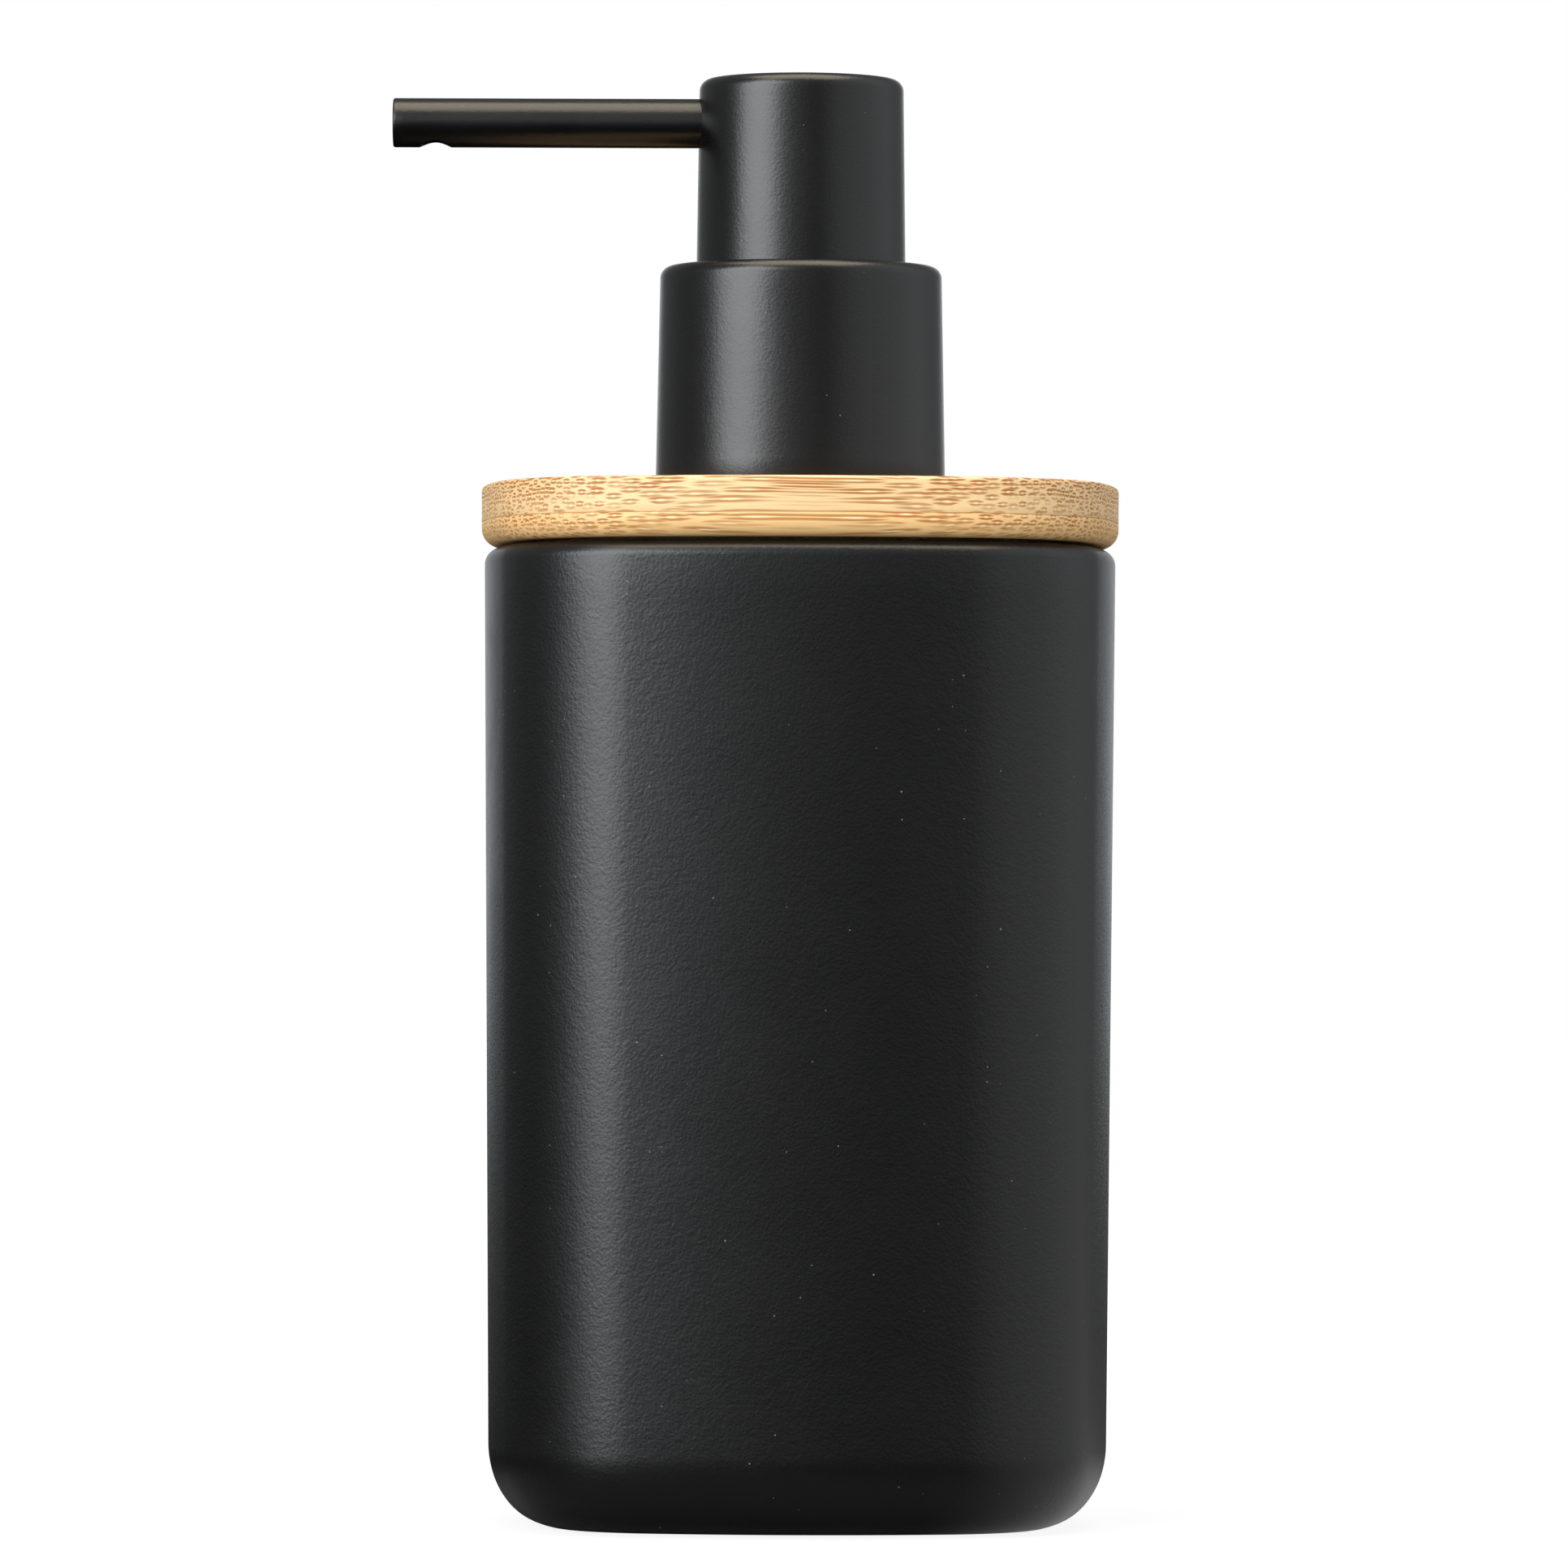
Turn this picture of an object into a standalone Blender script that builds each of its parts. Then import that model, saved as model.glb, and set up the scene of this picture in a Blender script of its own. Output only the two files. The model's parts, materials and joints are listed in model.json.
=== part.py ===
"""Soap pump dispenser: a rounded-square bottle, a bamboo lid and a screw-on lotion pump.

Every piece is its own named object, in metres with +Z up. The bottle stands on the plane z = 0 and the
pump's axis is the Z axis. Run it with: blender --background --python part.py
"""

import math

import bmesh
import bpy
from mathutils import Matrix, Vector

MM = 0.001
TAU = 2 * math.pi

# Clearances
GAP = 0.3 * MM  # between faces that touch on the real object
SLIDE = 0.3 * MM  # all round a piece that slides in a bore

# Bottle
BODY_WIDTH = 72.4 * MM
BODY_HEIGHT = 111.8 * MM
BODY_TAPER = 0.8 * MM  # each side leans in by this much at the foot
BODY_CORNER = 20.5 * MM
FACE_CROWN = 78.0 * MM  # radius of the slightly bulging sides
BODY_WALL = 4.5 * MM
BODY_FLOOR = 5.0 * MM
FOOT_HEIGHT = 9.0 * MM  # of the rounding where a side meets the underside
FOOT_DEPTH = 7.0 * MM
SHOULDER_RADIUS = 1.8 * MM
CAVITY_RADIUS = 5.0 * MM
PAD_RADIUS = 22.0 * MM
PAD_THICKNESS = 1.2 * MM

# Bamboo lid and what closes the mouth under it
LID_OVERHANG = 0.35 * MM
LID_THICKNESS = 6.8 * MM
LID_TOP_EDGE = 0.5 * MM
LID_BOTTOM_EDGE = 2.0 * MM
PLUG_HEIGHT = 5.7 * MM
PLUG_INSET = 0.9 * MM  # from the bottle's inner wall
SEAL_SECTION = 1.0 * MM  # radius of the seal's round section
SEAL_GROOVE = 1.9 * MM

# Threaded neck through the lid
NECK_RADIUS = 12.2 * MM
NECK_WALL = 2.4 * MM
NECK_RISE = 6.6 * MM  # above the lid
FLANGE_MARGIN = 2.7 * MM
FLANGE_THICKNESS = 1.5 * MM
WASHER_THICKNESS = 0.7 * MM
NUT_HEIGHT = 5.0 * MM
NUT_WALL = 1.4 * MM  # at the middle of a flat
THREAD_PITCH = 3.0 * MM
THREAD_RIDGE = 0.8 * MM
THREAD_DEPTH = 1.3 * MM  # from the neck's wall to the cap's wall
NECK_THREAD_TURNS = 1.25
CAP_THREAD_TURNS = 1.0

# Closure and collar
CAP_WALL = 1.3 * MM
CAP_HOLE_MARGIN = 0.7 * MM  # round the barrel
COLLAR_ROUND_CAP = 1.83 * MM  # from the cap's wall to the collar's outside
COLLAR_DRAFT = 0.46 * MM
COLLAR_HEIGHT = 25.2 * MM
COLLAR_WALL = 1.3 * MM
COLLAR_LIP = 1.6 * MM
COLLAR_EDGE = 1.4 * MM
COLLAR_LIP_EDGE = 0.4 * MM
FIT = 0.4 * MM  # all round a round piece that stands in an opening

# Pump
GASKET_THICKNESS = 0.7 * MM
BARREL_BORE = 6.5 * MM
BARREL_WALL = 1.1 * MM
HOUSING_FLANGE = 1.0 * MM
GASKET_SEAT = 2.0 * MM  # from the barrel out to the gasket
STROKE = 11.5 * MM
BALL_RADIUS = 3.0 * MM
SEAT_BORE = 2.0 * MM
CHAMBER_SPARE = 2.6 * MM  # above the ball
RETAINER_BORE = 1.8 * MM
TUBE_RADIUS = 2.75 * MM
TUBE_WALL = 0.85 * MM
TUBE_ABOVE_FLOOR = 3.0 * MM
SOCKET_LENGTH = 11.5 * MM
SOCKET_WALL = 1.4 * MM
SOCKET_ROOF = 2.4 * MM
SOCKET_SLOPE = 1.0 * MM
GUIDE_LENGTH = 7.6 * MM
STEM_RADIUS = 3.8 * MM
STEM_STEP = 0.8 * MM  # how far the foot is turned down under the shoulder
STEM_WALL = 1.6 * MM
STEM_TIP = (0.4 * MM, 0.8 * MM)  # width and height of the lead-in at its top
SHOULDER_DROP = 2.6 * MM  # from the guide to the stem's shoulder
STEM_IN_HEAD = 11.0 * MM
PORT_RADIUS = 0.7 * MM
PORT_RISE = 1.6 * MM
PISTON_HEIGHT = 6.0 * MM
PISTON_FLOAT = 1.0 * MM
PISTON_LIP = 1.2 * MM
PISTON_WAIST = 1.0 * MM
VALVE_INSET = 1.5 * MM  # from the barrel's wall
VALVE_HEIGHT = 3.4 * MM
VALVE_PLATE = 1.6 * MM
SPIGOT_HEIGHT = 1.2 * MM
RETAINER_THICKNESS = 1.2 * MM
SPRING_INSET = 1.9 * MM  # from the barrel's wall to the middle of the wire
SPRING_WIRE = 0.45 * MM
SPRING_TURNS = 8
SPRING_SPARE = 2.0 * MM  # left between its coils when it is fully pressed

# Actuator
HEAD_STEP = 4.14 * MM  # from the collar's top radius in to the head
HEAD_DRAFT = 0.3 * MM
HEAD_ABOVE_COLLAR = 21.5 * MM
HEAD_IN_COLLAR = 2.6 * MM
HEAD_WALL = 1.3 * MM
HEAD_EDGE = 1.4 * MM
CORE_WALL = 1.4 * MM
WEB_THICKNESS = 1.2 * MM
WEB_RISE = 5.0 * MM
SPOUT_RADIUS = 2.83 * MM
SPOUT_WALL = 0.7 * MM
SPOUT_REACH = 46.9 * MM
SPOUT_EDGE = 0.25 * MM
SPOUT_BELOW_TOP = 2.25 * MM  # from the head's top to the spout's upper side
OUTLET_RADIUS = 1.85 * MM
OUTLET_FROM_TIP = 4.85 * MM
END_PLUG_LENGTH = 2.0 * MM
NIPPLE_WALL = 0.65 * MM
NIPPLE_LENGTH = 8.5 * MM
CHANNEL_START = 0.5 * MM  # from the pump's axis

# Segments round a turned piece
COARSE = 24
FINE = 48

# Widths that fit together
BODY_HALF = BODY_WIDTH / 2
MOUTH_HALF = BODY_HALF - BODY_WALL
LID_HALF = BODY_HALF + LID_OVERHANG
PLUG_HALF = MOUTH_HALF - PLUG_INSET
FLANGE_RADIUS = NECK_RADIUS + FLANGE_MARGIN
LID_BORE = NECK_RADIUS + 2 * GAP
NUT_ACROSS = 2 * (LID_BORE + NUT_WALL) / math.cos(TAU / 12)  # over the corners
CAP_BORE = NECK_RADIUS + THREAD_DEPTH
CAP_RADIUS = CAP_BORE + CAP_WALL
COLLAR_RADIUS = CAP_RADIUS + COLLAR_ROUND_CAP
COLLAR_TOP_RADIUS = COLLAR_RADIUS - COLLAR_DRAFT
HEAD_RADIUS = COLLAR_TOP_RADIUS - HEAD_STEP
HEAD_TOP_RADIUS = HEAD_RADIUS - HEAD_DRAFT
BARREL_RADIUS = BARREL_BORE + BARREL_WALL
CAP_HOLE = BARREL_RADIUS + CAP_HOLE_MARGIN
SPRING_RADIUS = BARREL_BORE - SPRING_INSET
VALVE_RADIUS = BARREL_BORE - VALVE_INSET
STEM_FOOT_RADIUS = STEM_RADIUS - STEM_STEP
STEM_BORE = STEM_RADIUS - STEM_WALL
GUIDE_BORE = STEM_RADIUS + SLIDE
CORE_RADIUS = STEM_RADIUS + SLIDE + CORE_WALL
NIPPLE_RADIUS = SPOUT_RADIUS - SPOUT_WALL - SLIDE

# Heights that the sizes above give, from the foot upwards
BODY_BOTTOM = GAP
CAVITY_BOTTOM = BODY_BOTTOM + BODY_FLOOR
LID_BOTTOM = BODY_HEIGHT + GAP
LID_TOP = LID_BOTTOM + LID_THICKNESS
PLUG_TOP = LID_BOTTOM - GAP
PLUG_BOTTOM = PLUG_TOP - PLUG_HEIGHT
WASHER_TOP = PLUG_BOTTOM - GAP
NUT_TOP = WASHER_TOP - WASHER_THICKNESS - GAP
NUT_BOTTOM = NUT_TOP - NUT_HEIGHT
NECK_RIM = LID_TOP + NECK_RISE
COLLAR_BOTTOM = LID_TOP + GAP
COLLAR_TOP = COLLAR_BOTTOM + COLLAR_HEIGHT
HEAD_TOP = COLLAR_TOP + HEAD_ABOVE_COLLAR
HEAD_BOTTOM = COLLAR_TOP - HEAD_IN_COLLAR
HEAD_CEILING = HEAD_TOP - HEAD_WALL
SPOUT_HEIGHT = HEAD_TOP - SPOUT_BELOW_TOP - SPOUT_RADIUS

# Inside the pump, from the neck's rim downwards
GASKET_BOTTOM = NECK_RIM + GAP
HOUSING_FLANGE_BOTTOM = GASKET_BOTTOM + GASKET_THICKNESS + GAP
HOUSING_TOP = HOUSING_FLANGE_BOTTOM + HOUSING_FLANGE
CAP_CEILING = HOUSING_TOP + GAP
GUIDE_BOTTOM = HOUSING_TOP - GUIDE_LENGTH
STEM_SHOULDER = GUIDE_BOTTOM - SHOULDER_DROP
PISTON_BOTTOM = STEM_SHOULDER - GAP - PISTON_FLOAT - PISTON_HEIGHT
VALVE_TOP = PISTON_BOTTOM - GAP
VALVE_BOTTOM = VALVE_TOP - VALVE_HEIGHT
SPRING_TOP = VALVE_BOTTOM - GAP
SPRING_BOTTOM = SPRING_TOP - STROKE - SPRING_TURNS * 2 * SPRING_WIRE - SPRING_SPARE
RETAINER_TOP = SPRING_BOTTOM - GAP
RETAINER_BOTTOM = RETAINER_TOP - RETAINER_THICKNESS
BARREL_FLOOR = RETAINER_BOTTOM - GAP
STEM_BOTTOM = VALVE_TOP + GAP
STEM_TOP = HEAD_BOTTOM + STEM_IN_HEAD

# Ball chamber: a 45 degree seat under a chamber a little wider than the ball
CHAMBER_RADIUS = BALL_RADIUS + 2 * SLIDE
SEAT_TOP = BARREL_FLOOR - BALL_RADIUS - CHAMBER_SPARE
SEAT_BOTTOM = SEAT_TOP - (CHAMBER_RADIUS - SEAT_BORE)
BALL_HEIGHT = SEAT_BOTTOM - SEAT_BORE + (BALL_RADIUS + GAP / 2) * math.sqrt(2)
SOCKET_TOP = SEAT_BOTTOM - SOCKET_ROOF
SOCKET_BOTTOM = SOCKET_TOP - SOCKET_LENGTH

CLEAR = 5 * MM  # how far a cutter runs past the face that it opens
MERGE = 0.1 * MM  # how far a joined piece runs into the wall under it


# ---------------------------------------------------------------- scene, materials and collections


def clear_scene():
    for obj in list(bpy.data.objects):
        bpy.data.objects.remove(obj, do_unlink=True)


def new_collection(name, hidden):
    collection = bpy.data.collections.new(name)
    bpy.context.scene.collection.children.link(collection)
    collection.hide_render = hidden
    return collection


def finish(name, colour, roughness, metallic=0.0):
    """A Principled material with a plain colour."""
    material = bpy.data.materials.new(name)
    material.use_nodes = True
    shader = material.node_tree.nodes["Principled BSDF"]
    shader.inputs["Base Color"].default_value = (*colour, 1.0)
    shader.inputs["Roughness"].default_value = roughness
    shader.inputs["Metallic"].default_value = metallic
    return material


def add(name, mesh, material=None):
    """Links a mesh as a part, or as a hidden cutter when it has no material."""
    obj = bpy.data.objects.new(name, mesh)
    if material is None:
        CUTTERS.objects.link(obj)
        obj.hide_render = True
        obj.display_type = "WIRE"
    else:
        PARTS.objects.link(obj)
        mesh.materials.append(material)
    return obj


def boolean(obj, tool, operation):
    modifier = obj.modifiers.new(f"{operation.lower()} {tool.name}", "BOOLEAN")
    modifier.operation = operation
    modifier.solver = "EXACT"
    modifier.object = tool


# ---------------------------------------------------------------- shapes


def arc(centre, radius, start, end, steps):
    """Points on an arc, both ends included, with angles in radians."""
    angles = [start + (end - start) * step / steps for step in range(steps + 1)]
    return [(centre[0] + radius * math.cos(a), centre[1] + radius * math.sin(a)) for a in angles]


def rounded_square(half_width, corner, crown, corner_steps=8, face_steps=4):
    """The outline of the bottle: crowned sides and round corners that meet without a kink."""
    reach = crown - half_width
    spread = crown - corner
    centre = (-reach + math.sqrt(2 * spread * spread - reach * reach)) / 2
    lean = math.atan2(centre, reach + centre)
    points = []
    for quarter in range(4):
        turn = Matrix.Rotation(quarter * TAU / 4, 2)
        side = arc((-reach, 0.0), crown, -lean, lean, face_steps)
        bend = arc((centre, centre), corner, lean, TAU / 4 - lean, corner_steps)
        points += [turn @ Vector(point) for point in side[:-1] + bend[:-1]]
    return points


def body_outline(half_width):
    """The bottle's outline, moved in or out parallel to itself."""
    offset = half_width - BODY_HALF
    return rounded_square(half_width, BODY_CORNER + offset, FACE_CROWN + offset)


def round_edges(mesh_edit, height, radius, segments):
    """Rounds the edges of a prism that lie at this height."""
    level = [
        edge
        for edge in mesh_edit.edges
        if all(abs(corner.co.z - height) < 1e-6 for corner in edge.verts)
    ]
    bmesh.ops.bevel(
        mesh_edit,
        geom=level,
        offset=radius,
        segments=segments,
        profile=0.5,
        affect="EDGES",
        clamp_overlap=False,
    )


def prism(name, outline, bottom, top, material=None, taper=0.0, foot=(0.0, 1), crest=(0.0, 1)):
    """An upright solid on an outline. foot and crest are (radius, segments) of its round edges."""
    edit = bmesh.new()
    half = max(point[0] for point in outline)
    shrink = 1 - taper / half
    ring = [edit.verts.new((x * shrink, y * shrink, bottom)) for x, y in outline]
    base = edit.faces.new(ring)
    raised = bmesh.ops.extrude_face_region(edit, geom=[base], use_keep_orig=True)
    for item in raised["geom"]:
        if isinstance(item, bmesh.types.BMVert):
            item.co = Vector((item.co.x / shrink, item.co.y / shrink, top))
    for height, (radius, segments) in ((bottom, foot), (top, crest)):
        if radius > 0:
            round_edges(edit, height, radius, segments)
    bmesh.ops.recalc_face_normals(edit, faces=edit.faces)
    mesh = bpy.data.meshes.new(name)
    edit.to_mesh(mesh)
    edit.free()
    return add(name, mesh, material)


def stretch_foot(obj, bottom, depth, height):
    """Makes the round edge at the foot taller than it is deep, so that it is a quarter of an ellipse."""
    for vertex in obj.data.vertices:
        if vertex.co.z < bottom + depth:
            vertex.co.z = bottom + (vertex.co.z - bottom) * height / depth


def band(name, outline, bottom, top, thickness):
    """A hoop round an outline, as a cutter: an open wall that Solidify thickens inwards."""
    edit = bmesh.new()
    lower = [edit.verts.new((x, y, bottom)) for x, y in outline]
    upper = [edit.verts.new((x, y, top)) for x, y in outline]
    for index in range(len(lower)):
        following = (index + 1) % len(lower)
        edit.faces.new((lower[index], lower[following], upper[following], upper[index]))
    mesh = bpy.data.meshes.new(name)
    edit.to_mesh(mesh)
    edit.free()
    obj = add(name, mesh)
    wall = obj.modifiers.new("wall", "SOLIDIFY")
    wall.thickness = thickness
    wall.offset = -1
    return obj


def turned(name, profile, material=None, closed=True, segments=FINE, axis="Z", centre=(0, 0, 0)):
    """A turned solid. The profile is (radius, height) points, down the outside and up the inside.

    A profile that starts and ends on the axis is left open. An axis of -X lays height along -X.
    """
    mesh = bpy.data.meshes.new(name)
    edges = [(index, index + 1) for index in range(len(profile) - 1)]
    if closed:
        edges.append((len(profile) - 1, 0))
    mesh.from_pydata([(radius, 0.0, height) for radius, height in profile], edges, [])
    obj = add(name, mesh, material)
    screw = obj.modifiers.new("turn", "SCREW")
    screw.axis = "Z"
    screw.steps = segments
    screw.render_steps = segments
    screw.use_merge_vertices = True
    screw.merge_threshold = 0.00001
    screw.use_smooth_shade = False
    obj.location = centre
    if axis == "-X":
        obj.rotation_euler = (0, -TAU / 4, 0)
    return obj


def rod(name, radius, start, end, axis="Z", centre=(0, 0, 0), segments=COARSE, material=None):
    """A plain solid cylinder from start to end along its axis."""
    profile = [(0.0, end), (radius, end), (radius, start), (0.0, start)]
    return turned(name, profile, material, False, segments, axis, centre)


def wire(name, points, radius, material=None, cyclic=False):
    """A round bar through points, as a closed mesh."""
    curve = bpy.data.curves.new(name, "CURVE")
    curve.dimensions = "3D"
    curve.bevel_depth = radius
    curve.bevel_resolution = 2
    curve.use_fill_caps = not cyclic
    spline = curve.splines.new("POLY")
    spline.points.add(len(points) - 1)
    for knot, point in zip(spline.points, points):
        knot.co = (*point, 1.0)
    spline.use_cyclic_u = cyclic
    guide = bpy.data.objects.new(name, curve)
    CUTTERS.objects.link(guide)
    bpy.context.view_layer.update()
    graph = bpy.context.evaluated_depsgraph_get()
    mesh = bpy.data.meshes.new_from_object(guide.evaluated_get(graph))
    edit = bmesh.new()
    edit.from_mesh(mesh)
    bmesh.ops.remove_doubles(edit, verts=edit.verts, dist=1e-6)
    bmesh.ops.recalc_face_normals(edit, faces=edit.faces)
    edit.to_mesh(mesh)
    edit.free()
    bpy.data.objects.remove(guide, do_unlink=True)
    bpy.data.curves.remove(curve)
    mesh.name = name
    mesh.materials.clear()
    return add(name, mesh, material)


def helix(radius, start_height, pitch, start_turn, turns, steps_per_turn):
    """Points of a right-hand helix about the Z axis."""
    points = []
    for step in range(round(turns * steps_per_turn) + 1):
        turn = start_turn + step / steps_per_turn
        angle = TAU * turn
        height = start_height + pitch * turn
        points.append((radius * math.cos(angle), radius * math.sin(angle), height))
    return points


# ---------------------------------------------------------------- bottle


def bottle_body(glaze):
    body = prism(
        "bottle_body",
        body_outline(BODY_HALF),
        BODY_BOTTOM,
        BODY_HEIGHT,
        glaze,
        taper=BODY_TAPER,
        foot=(FOOT_DEPTH, 6),
        crest=(SHOULDER_RADIUS, 4),
    )
    stretch_foot(body, BODY_BOTTOM, FOOT_DEPTH, FOOT_HEIGHT)
    cavity = prism(
        "cut_cavity",
        body_outline(MOUTH_HALF),
        CAVITY_BOTTOM,
        BODY_HEIGHT + CLEAR,
        taper=BODY_TAPER,
        foot=(CAVITY_RADIUS, 4),
    )
    recess_top = PAD_THICKNESS + GAP
    recess = rod("cut_pad_recess", PAD_RADIUS + GAP, -CLEAR, recess_top, segments=FINE)
    boolean(body, cavity, "DIFFERENCE")
    boolean(body, recess, "DIFFERENCE")


def base_pad(foam):
    rod("base_pad", PAD_RADIUS, 0.0, PAD_THICKNESS, segments=FINE, material=foam)


# ---------------------------------------------------------------- lid


def bamboo_lid(bamboo):
    lid = prism(
        "bamboo_lid",
        body_outline(LID_HALF),
        LID_BOTTOM,
        LID_TOP,
        bamboo,
        foot=(LID_BOTTOM_EDGE, 4),
        crest=(LID_TOP_EDGE, 2),
    )
    seat = LID_TOP - FLANGE_THICKNESS - GAP
    flange = FLANGE_RADIUS + GAP
    bore = turned(
        "cut_lid_bore",
        [
            (0.0, LID_TOP + CLEAR),
            (flange, LID_TOP + CLEAR),
            (flange, seat),
            (LID_BORE, seat),
            (LID_BORE, LID_BOTTOM - CLEAR),
            (0.0, LID_BOTTOM - CLEAR),
        ],
        closed=False,
    )
    boolean(lid, bore, "DIFFERENCE")


def lid_plug(plastic):
    plug = prism("lid_plug", body_outline(PLUG_HALF), PLUG_BOTTOM, PLUG_TOP, plastic)
    middle = (PLUG_BOTTOM + PLUG_TOP) / 2
    half_groove = SEAL_SECTION + GAP
    groove = band(
        "cut_seal_groove",
        body_outline(PLUG_HALF + CLEAR),
        middle - half_groove,
        middle + half_groove,
        SEAL_GROOVE + CLEAR,
    )
    bore = rod("cut_plug_bore", LID_BORE, PLUG_BOTTOM - CLEAR, PLUG_TOP + CLEAR, segments=FINE)
    boolean(plug, groove, "DIFFERENCE")
    boolean(plug, bore, "DIFFERENCE")


def lid_seal(silicone):
    path = body_outline(MOUTH_HALF - GAP - SEAL_SECTION)
    middle = (PLUG_BOTTOM + PLUG_TOP) / 2
    points = [(x, y, middle) for x, y in path]
    wire("lid_seal", points, SEAL_SECTION, silicone, cyclic=True)


def neck_insert(plastic):
    bore = NECK_RADIUS - NECK_WALL
    seat = LID_TOP - FLANGE_THICKNESS
    end = NUT_BOTTOM - 2 * GAP
    neck = turned(
        "neck_insert",
        [
            (NECK_RADIUS, NECK_RIM),
            (NECK_RADIUS, LID_TOP),
            (FLANGE_RADIUS, LID_TOP),
            (FLANGE_RADIUS, seat),
            (NECK_RADIUS, seat),
            (NECK_RADIUS, end),
            (bore, end),
            (bore, NECK_RIM),
        ],
        plastic,
    )
    path = thread_points(NECK_RADIUS + MERGE, 0.0, NECK_THREAD_TURNS)
    ridge = wire("add_neck_thread", path, THREAD_RIDGE)
    boolean(neck, ridge, "UNION")


def thread_points(radius, offset, turns):
    """A thread's helix. An offset of half a turn sets the cap's ridge between those of the neck."""
    start = LID_TOP + THREAD_RIDGE + 2 * GAP + offset * THREAD_PITCH
    return helix(radius, start, THREAD_PITCH, -offset / 2, turns, 24)


def neck_washer(silicone):
    ring("neck_washer", NUT_ACROSS / 2, LID_BORE, WASHER_TOP - WASHER_THICKNESS, WASHER_TOP, silicone)


def lock_nut(plastic):
    bore = rod("cut_nut_bore", LID_BORE, NUT_BOTTOM - CLEAR, NUT_TOP + CLEAR, segments=FINE)
    nut = rod("lock_nut", NUT_ACROSS / 2, NUT_BOTTOM, NUT_TOP, segments=6, material=plastic)
    boolean(nut, bore, "DIFFERENCE")


def ring(name, outer, inner, bottom, top, material, segments=FINE):
    """A plain flat ring."""
    profile = [(outer, top), (outer, bottom), (inner, bottom), (inner, top)]
    return turned(name, profile, material, segments=segments)


# ---------------------------------------------------------------- closure


def housing_gasket(silicone):
    inner = BARREL_RADIUS + SLIDE + GASKET_SEAT
    outer = NECK_RADIUS - GAP
    ring("housing_gasket", outer, inner, GASKET_BOTTOM, GASKET_BOTTOM + GASKET_THICKNESS, silicone)


def closure_cap(plastic):
    top = CAP_CEILING + CAP_WALL
    bottom = COLLAR_BOTTOM + GAP
    edge = CAP_WALL / 2
    corner = (CAP_RADIUS - edge, top - edge)
    cap = turned(
        "closure_cap",
        [
            (CAP_HOLE, top),
            *reversed(arc(corner, edge, 0.0, TAU / 4, 3)),
            (CAP_RADIUS, bottom),
            (CAP_BORE, bottom),
            (CAP_BORE, CAP_CEILING),
            (CAP_HOLE, CAP_CEILING),
        ],
        plastic,
    )
    ridge = wire("add_cap_thread", thread_points(CAP_BORE, 0.5, CAP_THREAD_TURNS), THREAD_RIDGE)
    boolean(cap, ridge, "UNION")


def collar_shell(plastic):
    opening = HEAD_RADIUS + FIT
    corner = (COLLAR_TOP_RADIUS - COLLAR_EDGE, COLLAR_TOP - COLLAR_EDGE)
    lip = (opening + COLLAR_LIP_EDGE, COLLAR_TOP - COLLAR_LIP_EDGE)
    turned(
        "collar_shell",
        [
            *reversed(arc(lip, COLLAR_LIP_EDGE, TAU / 4, TAU / 2, 2)[:-1]),
            *reversed(arc(corner, COLLAR_EDGE, 0.0, TAU / 4, 6)),
            (COLLAR_RADIUS, COLLAR_BOTTOM),
            (COLLAR_RADIUS - COLLAR_WALL, COLLAR_BOTTOM),
            (COLLAR_TOP_RADIUS - COLLAR_WALL, COLLAR_TOP - COLLAR_LIP),
            (opening, COLLAR_TOP - COLLAR_LIP),
            (opening, COLLAR_TOP - COLLAR_LIP_EDGE),
        ],
        plastic,
    )


# ---------------------------------------------------------------- pump


def pump_housing(plastic):
    chamber_wall = CHAMBER_RADIUS + BARREL_WALL
    socket = TUBE_RADIUS + SLIDE
    turned(
        "pump_housing",
        [
            (NECK_RADIUS, HOUSING_TOP),
            (NECK_RADIUS, HOUSING_FLANGE_BOTTOM),
            (BARREL_RADIUS, HOUSING_FLANGE_BOTTOM),
            (BARREL_RADIUS, BARREL_FLOOR),
            (chamber_wall, BARREL_FLOOR - (BARREL_RADIUS - chamber_wall)),
            (chamber_wall, SOCKET_TOP),
            (socket + SOCKET_WALL, SOCKET_TOP - SOCKET_SLOPE),
            (socket + SOCKET_WALL, SOCKET_BOTTOM),
            (socket, SOCKET_BOTTOM),
            (socket, SOCKET_TOP),
            (SEAT_BORE, SOCKET_TOP),
            (SEAT_BORE, SEAT_BOTTOM),
            (CHAMBER_RADIUS, SEAT_TOP),
            (CHAMBER_RADIUS, BARREL_FLOOR),
            (BARREL_BORE, BARREL_FLOOR),
            (BARREL_BORE, HOUSING_TOP),
        ],
        plastic,
        segments=COARSE,
    )


def stem_guide(plastic):
    flange = CAP_HOLE - FIT
    sleeve = BARREL_BORE - SLIDE
    top = CAP_CEILING + CAP_WALL + GAP
    turned(
        "stem_guide",
        [
            (flange, top),
            (flange, HOUSING_TOP + GAP),
            (sleeve, HOUSING_TOP + GAP),
            (sleeve, GUIDE_BOTTOM),
            (GUIDE_BORE, GUIDE_BOTTOM),
            (GUIDE_BORE, top),
        ],
        plastic,
        segments=COARSE,
    )


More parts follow.
